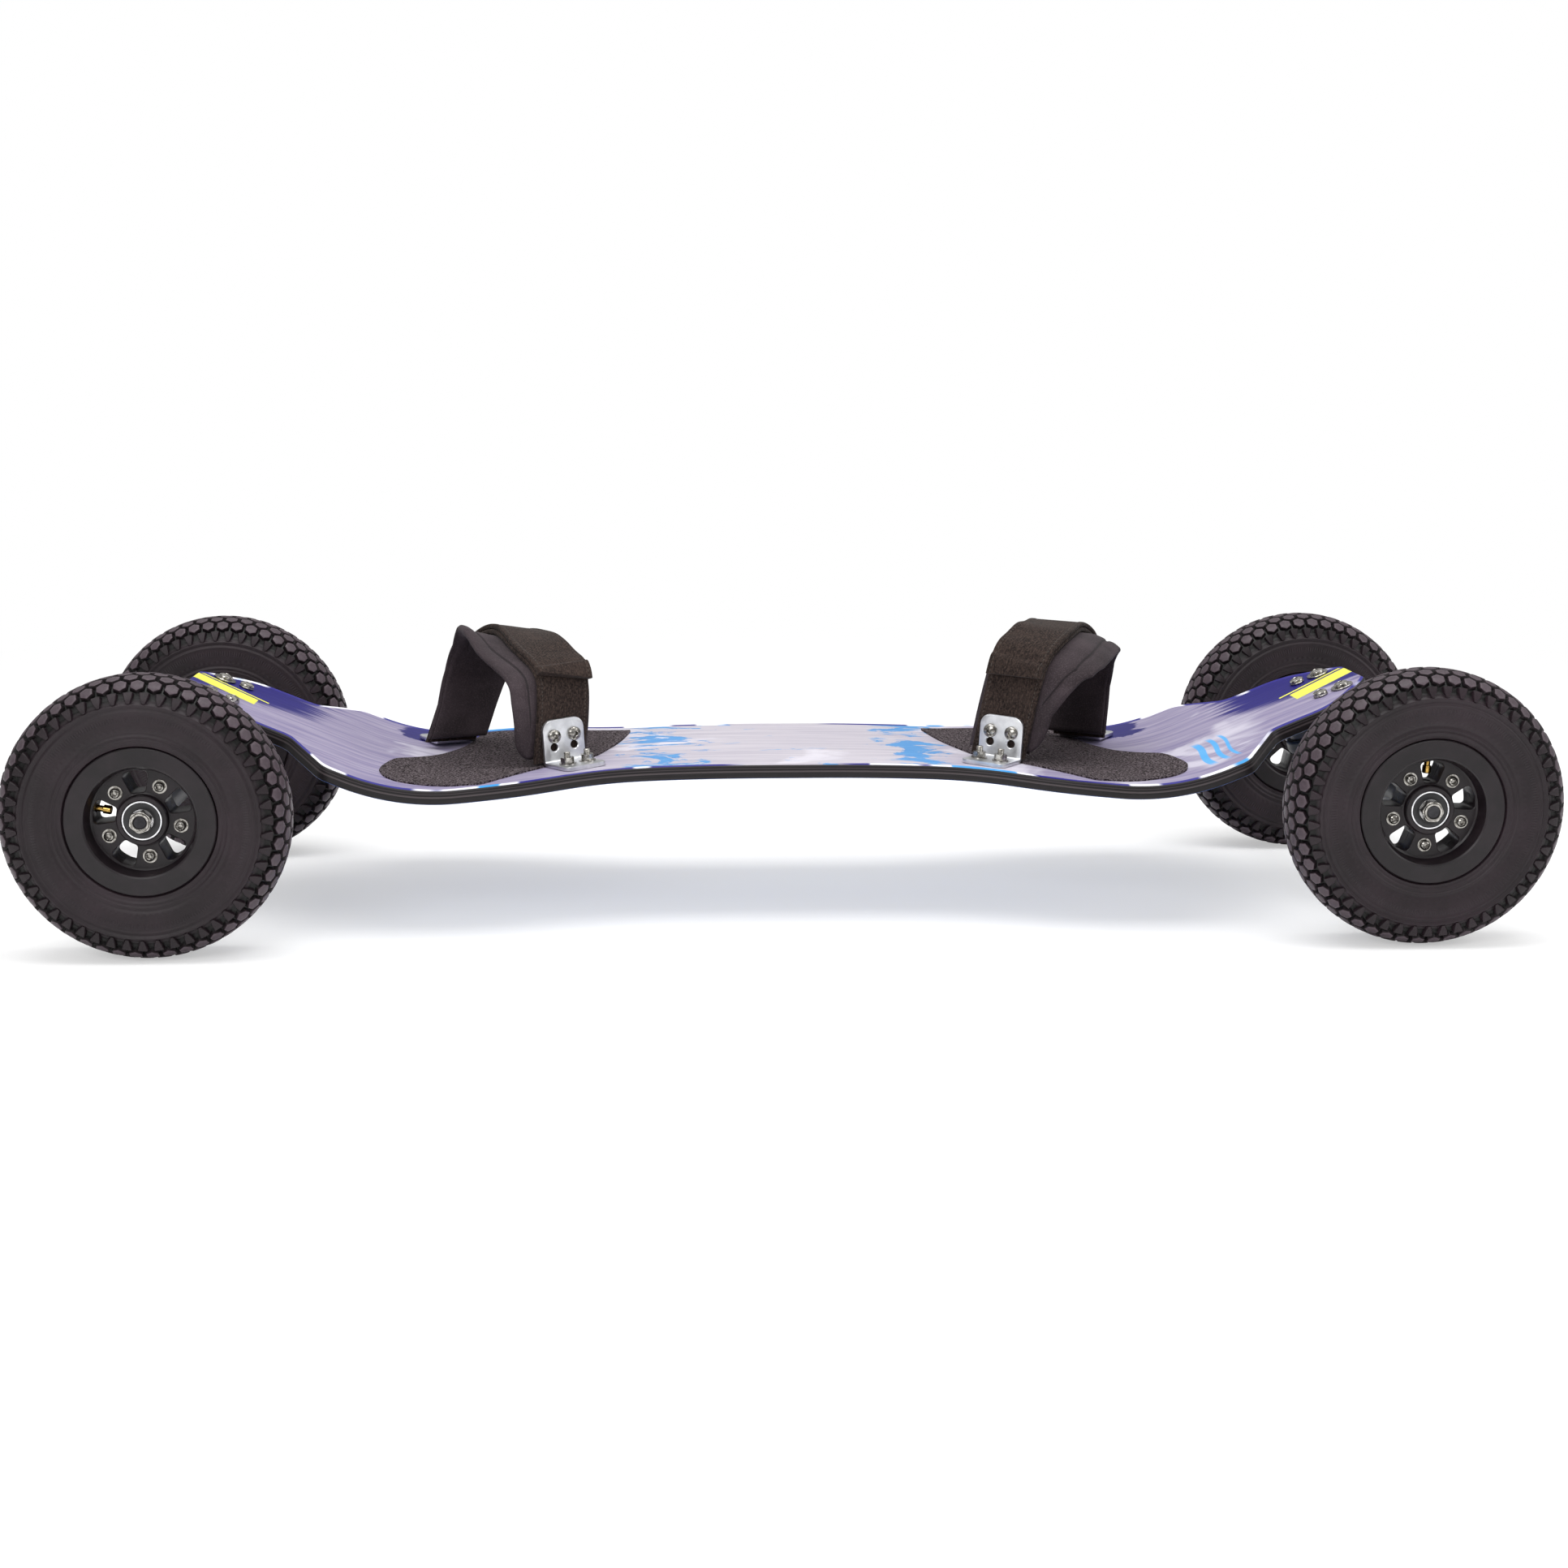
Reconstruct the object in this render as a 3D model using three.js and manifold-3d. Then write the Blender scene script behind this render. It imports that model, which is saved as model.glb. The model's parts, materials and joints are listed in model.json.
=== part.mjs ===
// Mountainboard: a laminated deck on two lean-to-steer trucks, with four air-filled wheels and two bindings.
// Millimetres. X runs along the board, Y across it, Z up. The origin is on the ground, under the middle.

import * as THREE from 'three';
import { mergeVertices } from 'three/addons/utils/BufferGeometryUtils.js';
import Module from 'manifold-3d';

const wasm = await Module();
wasm.setup();

// Whole board
const wheelbase = 902;
const track = 330; // between the tyres' middle planes
const fit = 0.3; // gap between pieces that touch
const overrun = 3; // how far a cut runs past the face that it opens

// Deck
const deckThickness = 10;
const edgeRound = 1.6;
const flatHalf = 20; // half of the level middle
const dipInset = 211; // where the deck slopes down most, inwards of the axles and along the deck
const dipAngle = THREE.MathUtils.degToRad(5.4);
const kickInset = 129; // where the straight tips begin
const kickAngle = THREE.MathUtils.degToRad(22.4);
const waistHalf = 94.5;
const bodyHalf = 129;
const neckHalf = 75;
const tipShoulderHalf = 38;
const tipHalf = 28;
const flareStartInset = 351;
const flareEndInset = 214;
const shoulderInset = 114;
const neckInset = 80;
const shoulderRound = 16;
const neckLength = 48; // straight sides of the neck, beside the truck bolts
const tipTaper = 36; // from the neck to the end's corners
const tipRound = 5;

// Places along the deck, counted from its middle
const dipStation = wheelbase / 2 - dipInset;
const kickStation = wheelbase / 2 - kickInset;
const flareStart = wheelbase / 2 - flareStartInset;
const flareEnd = wheelbase / 2 - flareEndInset;
const shoulderStation = wheelbase / 2 - shoulderInset;
const neckStation = wheelbase / 2 - neckInset;

// Truck bolts
const truckBoltAcross = 65;
const truckBoltAlong = 17.3;
const truckBoltRadius = 3;
const truckBoltHeadRadius = 5.4;
const truckBoltHeadHeight = 3.2;
const truckNutRadius = 5.6;
const truckNutHeight = 4.5;
const wideWasherRadius = 8.6;
const washerThickness = 1.3;

// Trucks, from the baseplate down to the axle
const axleDrop = 59.5; // from the tip's underside down to the axle
const baseplateThickness = 5.5;
const baseplateHalf = 44;
const baseplateNoseHalf = 22;
const baseplateInner = 42; // how far the plate runs inwards of the axle
const baseplateTaper = 8; // where its nose begins, outwards of the axle
const baseplateOuter = 22;
const baseplateRound = 8;
const kingpinInset = 26; // inwards of the axle
const kingpinRadius = 5;
const kingpinHeadRadius = 9.4; // over the hexagon's corners
const kingpinHeadHeight = 4.6;
const kingpinBossRadius = 14.5;
const kingpinBossHeight = 4;
const kingpinNutRadius = 9.2;
const kingpinNutHeight = 7;
const kingpinStub = 2;
const upperBushingHeight = 12;
const lowerBushingHeight = 12;
const bushingRadius = 13;
const bushingWaist = 11.4;
const cupWasherRadius = 13;
const cupWasherHeight = 2;
const hangerRingHeight = 10;
const hangerRingRadius = 17.5;
const hangerRingBore = 7.6;
const hangerNeckRadius = 8.6;
const hangerRibHalf = 13;
const hangerWingHalf = 92;
const hangerWingThickness = 8;
const sleeveRadius = 11;
const sleeveEndRadius = 8;
const sleeveEndLength = 13;
const axleRadius = 4.8;
const axleEnd = 24.5; // past the tyre's middle plane
const pivotReach = 16; // the pivot cup's middle, outwards of the axle
const pivotDrop = 13.5; // and below the baseplate
const pivotPinRadius = 5.5;
const pivotCupWall = 1.8;
const pivotCupLength = 11;
const pivotHousingRadius = 11;
const pivotHousingLength = 16;
const pivotHousingRise = 17; // from the pivot's axis up into the baseplate

// Tyres
const tyreRadius = 100;
const tyreHalf = 27.5;
const crownDrop = 10; // how much lower the tread is at the shoulders
const knobCount = 18; // round the tyre, in each row
const knobRows = 4;
const knobHeight = 4.5;
const knobInset = 1.5; // how far a knob's top stands in from its foot
const knobSkew = 1.6; // of the zigzag between two rows
const treadHalf = 26.3;
const widestRadius = 72;
const rimEdgeRadius = 54;
const beadThickness = 6.5;
const casingWall = 5;

// Inner tubes
const tubeCrownGap = 5;
const tubeSideGap = 2;
const tubeFootHalf = 9;
const valveRadius = 3;
const valveTip = 24; // how near the stem comes to the wheel's axis

// Hubs, in two halves that meet on the tyre's middle plane
const rimSeatRadius = 45;
const rimSeatHalf = 19.5;
const rimFlangeRadius = 52;
const rimFlangeFace = 24;
const barrelRadius = 36.5;
const spokeFace = 12;
const spokeCount = 5;
const windowInner = 19;
const windowRim = 2; // left between a window and the barrel
const windowAngle = THREE.MathUtils.degToRad(34);
const bossRadius = 17.5;
const bossFace = 17.4;
const hubBore = 8;
const hubBoltCircle = 26;
const hubBoltRadius = 3.6;
const hubBoltHeight = 3.4;
const bearingRadius = 13.9;
const bearingWidth = 9;
const bearingFace = 17;
const axleNutRadius = 8.1;
const axleNutHeight = 6.4;

// Bindings
const nearFootInset = 73; // from the deck's widest edge in to the near bracket's bend
const farFootInset = 62.5;
const bindingTurn = THREE.MathUtils.degToRad(33);
const footY = bodyHalf - nearFootInset;
const loopSpan = (2 * bodyHalf - nearFootInset - farFootInset) / Math.cos(bindingTurn);
const loopHeight = 91; // from the deck up to the straps, where each loop has its own at either end
const soleGap = 3; // under the lower ends of straps and pads
const strapWidth = 44;
const strapThickness = 3;
const layerGap = 0.7; // between straps and pad, which bend together
const padThickness = 8;
const padEdge = 4.5; // thickness at the pad's rim
const padToe = 52; // from the middle of the straps to the pad's rim on the toe side
const padToeDroop = 20; // how far that rim hangs down
const padHeel = 25; // to the rim on the other side
const padHeelDroop = 12;
const bracketWidth = 35;
const bracketHeight = 34;
const bracketDepth = 34;
const bracketThickness = 3;
const bracketBend = 4; // outer radius of the bend
const bracketRound = 8;
const bracketFootRound = 5;
const strapBoltSpacing = 17.2;
const strapBoltRise = 22.5;
const strapBoltRadius = 2.5;
const strapBoltHead = 5.1;
const strapBoltHeadHeight = 2.8;
const spareHoleRise = 13.5;
const spareHoleRadius = 3.1;
const deckBoltOut = 20;
const deckBoltRadius = 2.5;
const deckBoltHead = 6;
const deckBoltHeadHeight = 2.2;
const deckBoltStub = 5;
const deckNutRadius = 5.4;
const deckNutHeight = 4.5;

// Grip pads
const gripThickness = 1;
const gripStartInset = 334; // from the axles in to the pad's round end
const gripEndInset = 149;
const gripSideInset = 13; // from the deck's widest edge
const gripStart = wheelbase / 2 - gripStartInset;
const gripEnd = wheelbase / 2 - gripEndInset;
const gripHalf = bodyHalf - gripSideInset;

// Sides of round pieces
const hubSides = 15;
const ringSides = 10;
const hexSides = 6;
const arcSteps = 3;

// Solids

function solidOf(piece) {
  if (!piece.isBufferGeometry) return piece;
  const bare = piece.clone();
  bare.deleteAttribute('normal');
  bare.deleteAttribute('uv');
  const merged = mergeVertices(bare);
  const mesh = new wasm.Mesh({
    numProp: 3,
    vertProperties: new Float32Array(merged.attributes.position.array),
    triVerts: new Uint32Array(merged.index.array),
  });
  return new wasm.Manifold(mesh);
}

function joined(first, ...others) {
  return others.reduce((sum, other) => sum.add(solidOf(other)), solidOf(first));
}

function cut(first, ...others) {
  return others.reduce((rest, other) => rest.subtract(solidOf(other)), solidOf(first));
}

function common(first, ...others) {
  return others.reduce((rest, other) => rest.intersect(solidOf(other)), solidOf(first));
}

function geometryOf(piece) {
  if (piece.isBufferGeometry) return piece;
  const { vertProperties, triVerts } = piece.getMesh();
  const geometry = new THREE.BufferGeometry();
  geometry.setAttribute('position', new THREE.BufferAttribute(vertProperties, 3));
  geometry.setIndex(new THREE.BufferAttribute(triVerts, 1));
  geometry.computeVertexNormals();
  return geometry;
}

// Turns a closed skin the right way round: its cones from the origin have to add up to more than nothing.
function facingOut(geometry) {
  const index = geometry.index.array;
  const at = (k) => new THREE.Vector3().fromBufferAttribute(geometry.attributes.position, index[k]);
  let volume = 0;
  for (let k = 0; k < index.length; k += 3) volume += at(k).dot(at(k + 1).cross(at(k + 2)));
  if (volume < 0) {
    for (let k = 0; k < index.length; k += 3) [index[k], index[k + 1]] = [index[k + 1], index[k]];
  }
  geometry.computeVertexNormals();
  return geometry;
}

function skin(points, faces) {
  const geometry = new THREE.BufferGeometry().setFromPoints(points);
  geometry.setIndex(faces);
  return facingOut(geometry);
}

// Skin over rings of equally many points, closed at both ends.
function loft(rings) {
  const count = rings[0].length;
  const faces = [];
  for (let row = 0; row + 1 < rings.length; row++) {
    for (let k = 0; k < count; k++) {
      const a = row * count + k;
      const b = row * count + ((k + 1) % count);
      faces.push(a, b, b + count, a, b + count, a + count);
    }
  }
  const last = (rings.length - 1) * count;
  for (let k = 1; k + 1 < count; k++) {
    faces.push(0, k + 1, k, last, last + k, last + k + 1);
  }
  return skin(rings.flat(), faces);
}

// A closed profile of [radius, height] points, turned about Y.
function turned(profile, sides) {
  const points = [...profile, profile[0]].map(([radius, height]) => new THREE.Vector2(radius, height));
  const bare = new THREE.LatheGeometry(points, sides);
  bare.deleteAttribute('normal');
  bare.deleteAttribute('uv');
  return facingOut(mergeVertices(bare));
}

// The same, turned about Z.
function turnedUpright(profile, sides) {
  return turned(profile, sides).rotateX(Math.PI / 2);
}

function rod(radius, low, high, sides) {
  const geometry = new THREE.CylinderGeometry(radius, radius, high - low, sides);
  return geometry.rotateX(Math.PI / 2).translate(0, 0, (low + high) / 2);
}

// The same along Y.
function crossRod(radius, low, high, sides) {
  const geometry = new THREE.CylinderGeometry(radius, radius, high - low, sides);
  return geometry.translate(0, (low + high) / 2, 0);
}

function prism(shape, low, high) {
  const options = { depth: high - low, bevelEnabled: false, curveSegments: arcSteps };
  return new THREE.ExtrudeGeometry(shape, options).translate(0, 0, low);
}

// Turns a prism so that its outline's X and Y become Y and Z, and it runs along X.
function alongX(piece) {
  return piece.applyMatrix4(new THREE.Matrix4().makeBasis(
    new THREE.Vector3(0, 1, 0),
    new THREE.Vector3(0, 0, 1),
    new THREE.Vector3(1, 0, 0),
  ));
}

// Straight lines through corners given as [x, y, round], with each corner rounded by that much.
function roundedLine(path, corners, closed) {
  const places = corners.map(([x, y]) => new THREE.Vector2(x, y));
  const towards = (k, other, round) => {
    return places[other].clone().sub(places[k]).setLength(round).add(places[k]);
  };
  const count = corners.length;
  corners.forEach(([x, y, round], k) => {
    const end = !closed && (k === 0 || k + 1 === count);
    const from = end || !round ? places[k] : towards(k, (k + count - 1) % count, round);
    if (k === 0) path.moveTo(from.x, from.y);
    else path.lineTo(from.x, from.y);
    if (end || !round) return;
    const to = towards(k, (k + 1) % count, round);
    path.quadraticCurveTo(x, y, to.x, to.y);
  });
  if (closed) path.closePath();
  return path;
}

// Radius over the corners of a many-sided hole that a round shaft passes.
function holeRound(radius, gap, sides) {
  return (radius + gap) / Math.cos(Math.PI / sides);
}

// Finishes

function finish(color, roughness, metalness = 0) {
  return new THREE.MeshStandardMaterial({ color, roughness, metalness });
}

const finishes = {
  deck: finish(0x8d86b4, 0.4),
  grip: finish(0x1b1a1b, 0.95),
  bracket: finish(0xc9cacc, 0.35, 1),
  webbing: finish(0x1e1b1b, 0.85),
  pad: finish(0x262324, 0.8),
  casting: finish(0x1a1a1c, 0.5, 0.6),
  steel: finish(0xb9babd, 0.3, 1),
  bushing: finish(0x2a2a2e, 0.5),
  cup: finish(0x101012, 0.6),
  tyre: finish(0x2b282a, 0.85),
  tube: finish(0x151516, 0.7),
  hub: finish(0x1f1d20, 0.4),
  bearing: finish(0xd0d0d2, 0.25, 1),
};

const board = new THREE.Group();

function addMesh(parent, name, piece, material) {
  const mesh = new THREE.Mesh(geometryOf(piece), material);
  mesh.name = name;
  parent.add(mesh);
  return mesh;
}

// Deck: its slope follows the distance along it, level in the middle, then dipping, then up at the tips.

function slopeAt(station) {
  const along = Math.abs(station);
  const stops = [flatHalf, dipStation, kickStation];
  const angles = [0, -dipAngle, kickAngle];
  if (along <= flatHalf) return 0;
  const k = stops.findIndex((stop) => along < stop);
  if (k < 0) return kickAngle;
  const share = (along - stops[k - 1]) / (stops[k] - stops[k - 1]);
  return angles[k - 1] + share * (angles[k] - angles[k - 1]);
}

// Place on the deck's top, before the deck is lifted, by adding up small steps.
const profileSteps = 64;

function profileAt(station) {
  const steps = profileSteps;
  const step = Math.abs(station) / steps;
  let x = 0;
  let z = 0;
  for (let k = 0; k < steps; k++) {
    const slope = slopeAt((k + 0.5) * step);
    x += step * Math.cos(slope);
    z += step * Math.sin(slope);
  }
  return { x: x * Math.sign(station), z };
}

// The lift holds the straight tips at their height over the axles, and the trucks stand square to the tips.
const kickStart = profileAt(kickStation);
const tipNormal = new THREE.Vector2(-Math.sin(kickAngle), Math.cos(kickAngle));
const axleFromKick = new THREE.Vector2(wheelbase / 2 - kickStart.x, tyreRadius - kickStart.z);
const deckLift = (axleFromKick.dot(tipNormal) + axleDrop + deckThickness) / tipNormal.y;

function deckPoint(station, across, depth = 0) {
  const { x, z } = profileAt(station);
  const slope = slopeAt(station);
  const outwards = Math.sign(station) * Math.sin(slope);
  return new THREE.Vector3(x + depth * outwards, across, deckLift + z - depth * Math.cos(slope));
}

// Distance along the deck of the point with this X, found by tries that close in on it.
const stationTries = 6;

function stationAt(x) {
  let station = x;
  for (let k = 0; k < stationTries; k++) station += x - profileAt(station).x;
  return station;
}

// Half of the plan outline, as points of [distance along, half width].
function deckOutline() {
  const path = new THREE.Path();
  const ease = (flareEnd - flareStart) / 2;
  path.moveTo(0, waistHalf);
  path.lineTo(flareStart, waistHalf);
  path.bezierCurveTo(flareStart + ease, waistHalf, flareEnd - ease, bodyHalf, flareEnd, bodyHalf);
  const neckEnd = neckStation + neckLength;
  const tipCorner = neckEnd + tipTaper;
  const end = roundedLine(new THREE.Path(), [
    [flareEnd, bodyHalf, 0],
    [shoulderStation, bodyHalf, shoulderRound],
    [neckStation, neckHalf, shoulderRound],
    [neckEnd, neckHalf, shoulderRound],
    [tipCorner, tipShoulderHalf, tipRound],
    [tipCorner + tipRound, tipHalf, 0],
  ], false);
  return [...path.getPoints(arcSteps), ...end.getPoints(arcSteps).slice(1)];
}

const outline = deckOutline();

function halfWidthAt(station) {
  const along = Math.abs(station);
  const k = Math.max(1, outline.findIndex((point) => point.x >= along));
  const [from, to] = [outline[k - 1], outline[k]];
  return THREE.MathUtils.mapLinear(along, from.x, to.x, from.y, to.y);
}

const kickSteps = 6; // facets of the bend up to a tip

function deckStations() {
  const bend = Array.from({ length: kickSteps + 1 }, (_, k) => {
    return THREE.MathUtils.lerp(dipStation, kickStation, k / kickSteps);
  });
  const all = [...outline.map((point) => point.x), flatHalf, ...bend].sort((a, b) => a - b);
  const half = all.filter((station, k) => station > 0 && station - all[k - 1] > fit);
  return [...half.map((station) => -station).reverse(), 0, ...half];
}

// Frame that stands on the deck's top as a flat foot does that reaches from low to high along X.
const seatShares = [0, 0.25, 0.5, 0.75, 1]; // where the foot is tried against the deck's curve

function seatOnDeck(place, low, high) {
  const topAt = (share) => {
    return deckPoint(stationAt(place.x + THREE.MathUtils.lerp(low, high, share)), place.y);
  };
  const chord = topAt(1).sub(topAt(0));
  const slope = Math.atan2(chord.z, chord.x);
  const normal = new THREE.Vector3(-Math.sin(slope), 0, Math.cos(slope));
  const rises = seatShares.map((share) => topAt(share).sub(topAt(0)).dot(normal));
  const origin = topAt(0).addScaledVector(chord, -low / (high - low));
  origin.addScaledVector(normal, Math.max(...rises));
  return new THREE.Matrix4().makeRotationY(-slope).setPosition(origin);
}

// Frame of a truck: the origin is the axle's middle, X runs outwards along the tip and Z up square to it.
function truckFrame(side) {
  const tilt = new THREE.Matrix4().makeRotationY(-kickAngle);
  const turn = new THREE.Matrix4().makeRotationZ(side < 0 ? Math.PI : 0);
  return turn.setPosition(side * wheelbase / 2, 0, tyreRadius).multiply(tilt);
}

// The inset runs from the axle in to the near bracket's bend. The sways are how far the loop's legs lean
// along their brackets, towards the middle of the board, and the tops are how high it stands over each.
// The rims are places along the loop, with shares of the pad's reach and droop there, on the toe side.
const feet = [
  {
    name: 'tail',
    side: -1,
    inset: 285,
    shift: 10,
    nearSway: 11,
    farSway: 25,
    nearTop: 82,
    farTop: 97,
    rims: [
      [0, 0.64, 0],
      [0.12, 0.69, 0],
      [0.19, 0.73, 0.1],
      [0.27, 0.75, 0.15],
      [0.36, 0.79, 0.1],
      [0.46, 0.88, -0.05],
      [0.57, 0.93, -0.3],
      [0.64, 0.87, -0.36],
      [0.71, 0.68, -0.1],
      [0.8, 0.54, 0],
      [1, 0.5, 0],
    ],
  },
  {
    name: 'nose',
    side: 1,
    inset: 288.8,
    shift: 4,
    nearSway: -10,
    farSway: 2,
    nearTop: 94,
    farTop: 95,
    rims: [
      [0, 0.58, 0],
      [0.12, 0.61, 0],
      [0.19, 0.8, 0.05],
      [0.27, 1.02, 0.35],
      [0.38, 1.12, 0.65],
      [0.5, 1.1, 0.65],
      [0.61, 1.02, 0.45],
      [0.69, 0.86, 0.25],
      [0.77, 0.62, 0.05],
      [0.85, 0.53, 0],
      [1, 0.5, 0],
    ],
  },
];

// In a bracket's frame X runs along its upright plate, Z up, and the foot is on the +Y side.
function bracketFrames({ side, inset, shift }) {
  const across = new THREE.Vector3(-side * Math.cos(bindingTurn), Math.sin(bindingTurn), 0);
  const inwards = new THREE.Vector3(side * Math.sin(bindingTurn), Math.cos(bindingTurn), 0);
  const near = new THREE.Vector3(side * (wheelbase / 2 - inset), -footY, 0);
  const far = near.clone().addScaledVector(inwards, loopSpan).addScaledVector(across, -shift);
  return [near, far].map((place, k) => {
    const turn = new THREE.Matrix4().makeRotationZ(k * Math.PI - side * bindingTurn);
    const corners = [-1, 1].flatMap((half) => [-bracketDepth, 0].map((y) => {
      return new THREE.Vector3(half * bracketWidth / 2, y, 0).applyMatrix4(turn).x;
    }));
    const seat = seatOnDeck(place, Math.min(...corners), Math.max(...corners));
    return seat.multiply(new THREE.Matrix4().makeTranslation(0, 0, fit)).multiply(turn);
  });
}

function deck() {
  const section = (station) => {
    const half = halfWidthAt(station);
    const ring = [
      [half - edgeRound, 0],
      [half, deckThickness / 2],
      [half - edgeRound, deckThickness],
      [edgeRound - half, deckThickness],
      [-half, deckThickness / 2],
      [edgeRound - half, 0],
    ];
    return ring.map(([across, depth]) => deckPoint(station, across, depth));
  };
  const plank = loft(deckStations().map(section));
  const low = -2 * deckThickness;
  const holes = [];
  for (const end of [-1, 1]) {
    for (const side of [-1, 1]) {
      for (const inset of [0, truckBoltAlong]) {
        const radius = holeRound(truckBoltRadius, fit, hexSides);
        const high = axleDrop + deckThickness + overrun;
        const hole = rod(radius, axleDrop - overrun, high, hexSides);
        hole.translate(-inset, side * truckBoltAcross / 2, 0);
        holes.push(hole.applyMatrix4(truckFrame(end)));
      }
    }
  }
  for (const frame of feet.flatMap(bracketFrames)) {
    for (const side of [-1, 1]) {
      const x = side * strapBoltSpacing / 2;
      const hole = rod(holeRound(deckBoltRadius, fit, hexSides), low, overrun, hexSides);
      holes.push(hole.translate(x, -deckBoltOut, 0).applyMatrix4(frame));
    }
  }
  return cut(plank, ...holes);
}

// Grip pad: a thin sheet on the deck, cut out round the bindings' brackets. Shares of its length and half width.
const gripShares = [
  [0, 0.56, 0.6],
  [0.04, 0.17, 0.61],
  [0.14, -0.33, 0.655],
  [0.35, -0.6, 0.78],
  [0.465, -0.79, 0.855],
  [0.58, -1, 0.95],
  [0.655, -0.97, 0.905],
  [0.69, -0.965, 0.457],
  [0.79, -0.93, 0.13],
  [0.924, -0.89, -0.12],
  [0.968, -0.83, -0.207],
  [0.99, -0.776, -0.39],
  [1, -0.65, -0.61],
];

function gripPad(foot) {
  const rings = gripShares.map(([alongShare, lowShare, highShare]) => {
    const station = foot.side * THREE.MathUtils.lerp(gripStart, gripEnd, alongShare);
    const [low, high] = [lowShare * gripHalf, highShare * gripHalf];
    const top = fit + gripThickness;
    const ring = [[low, fit], [high, fit], [high, top], [low, top]];
    return ring.map(([across, rise]) => deckPoint(station, across, -rise));
  });
  const half = bracketWidth / 2 + fit;
  const footprints = bracketFrames(foot).map((frame) => {
    const back = -bracketDepth - overrun;
    const corners = [[-half, back], [half, back], [half, fit], [-half, fit]];
    const shape = roundedLine(new THREE.Shape(), corners, true);
    return prism(shape, -overrun, overrun).applyMatrix4(frame);
  });
  return cut(loft(rings), ...footprints);
}

// Height, in a bracket's frame, that clears the deck's underside round one of the deck bolts.
function boltHeadTop(frame, x) {
  const inverse = frame.clone().invert();
  const middle = new THREE.Vector3(x, -deckBoltOut, 0).applyMatrix4(frame);
  const heights = [-1, 0, 1].map((side) => {
    const station = stationAt(middle.x + side * deckBoltHead);
    return deckPoint(station, middle.y, deckThickness).applyMatrix4(inverse).z;
  });
  return Math.min(...heights) - fit;
}

// Angle bracket: a foot on the deck, an upright plate with round corners, two strap bolts, two deck bolts.
const boltCrownShare = 0.7; // of a strap bolt's head, that is flat on top

function bracket(frame) {
  const half = bracketWidth / 2;
  const bendInner = bracketBend - bracketThickness;
  const profile = new THREE.Shape();
  profile.moveTo(-bracketDepth, 0);
  profile.lineTo(-bracketBend, 0);
  profile.absarc(-bracketBend, bracketBend, bracketBend, -Math.PI / 2, 0);
  profile.lineTo(0, bracketHeight);
  profile.lineTo(-bracketThickness, bracketHeight);
  profile.lineTo(-bracketThickness, bracketBend);
  profile.absarc(-bracketBend, bracketBend, bendInner, 0, -Math.PI / 2, true);
  profile.lineTo(-bracketDepth, bracketThickness);
  const plateTrim = roundedLine(new THREE.Shape(), [
    [-half, -overrun, 0],
    [half, -overrun, 0],
    [half, bracketHeight, bracketRound],
    [-half, bracketHeight, bracketRound],
  ], true);
  const footTrim = roundedLine(new THREE.Shape(), [
    [-half, -bracketDepth, bracketFootRound],
    [half, -bracketDepth, bracketFootRound],
    [half, overrun, 0],
    [-half, overrun, 0],
  ], true);
  let solid = common(
    alongX(prism(profile, -half, half)),
    prism(plateTrim, -overrun, bracketDepth + overrun).rotateX(Math.PI / 2),
    prism(footTrim, -overrun, bracketHeight + overrun),
  );
  const strapBoltFace = bracketThickness + strapBoltHeadHeight;
  for (const side of [-1, 1]) {
    const x = side * strapBoltSpacing / 2;
    const spare = crossRod(spareHoleRadius, -bracketThickness - overrun, overrun, hexSides);
    const strapBolt = turned([
      [0, -strapBoltFace],
      [strapBoltHead * boltCrownShare, -strapBoltFace],
      [strapBoltHead, -strapBoltFace + strapBoltHeadHeight / 2],
      [strapBoltHead, -bracketThickness / 2],
      [strapBoltRadius, -bracketThickness / 2],
      [strapBoltRadius, fit + strapThickness],
      [0, fit + strapThickness],
    ], hexSides);
    const nutTop = bracketThickness + deckNutHeight;
    const headTop = boltHeadTop(frame, x);
    const deckBolt = rod(deckBoltRadius, headTop - fit, nutTop + deckBoltStub, hexSides);
    const deckHead = rod(deckBoltHead, headTop - deckBoltHeadHeight, headTop, hexSides);
    const deckNut = rod(deckNutRadius, bracketThickness / 2, nutTop, hexSides);
    solid = joined(
      cut(solid, spare.translate(x, 0, spareHoleRise)),
      strapBolt.translate(x, 0, strapBoltRise),
      deckBolt.translate(x, -deckBoltOut, 0),
      deckHead.translate(x, -deckBoltOut, 0),
      deckNut.translate(x, -deckBoltOut, 0),
    );
  }
  return solid;
}

// Straps and pad follow one loop from bracket to bracket, as shares of the span and of the height.
const loopShares = [
  [0, 0.19],
  [0, 0.37],
  [0.012, 0.62],
  [0.045, 0.78],
  [0.13, 0.885],
  [0.28, 0.965],
  [0.46, 1],
  [0.64, 0.995],
  [0.8, 0.93],
  [0.92, 0.79],
  [0.985, 0.58],
  [1, 0.37],
  [1, 0.19],
];
// The loop is cut into equal steps, so that straps and pad have their corners side by side.
const loopSteps = 22;
const nearStrapSteps = 15; // from the near bracket to the end of the strap that lies below
const flapStep = 5; // where the strap that lies above ends, with its last step doubled
const rampSteps = 2; // over which one strap climbs onto the other
const padMargin = 1; // steps from a bracket's foot to the pad's end

function loopPath() {
  const inset = fit + strapThickness;
  const points = loopShares.map(([spanShare, heightShare]) => {
    return new THREE.Vector2(
      THREE.MathUtils.lerp(inset, loopSpan - inset, spanShare),
      heightShare * loopHeight,
    );
  });
  const path = new THREE.CurvePath();
  path.add(new THREE.LineCurve(new THREE.Vector2(points[0].x, soleGap), points[0]));
  path.add(new THREE.SplineCurve(points));
  path.add(new THREE.LineCurve(points.at(-1), new THREE.Vector2(points.at(-1).x, soleGap)));
  return path;
}

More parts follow.
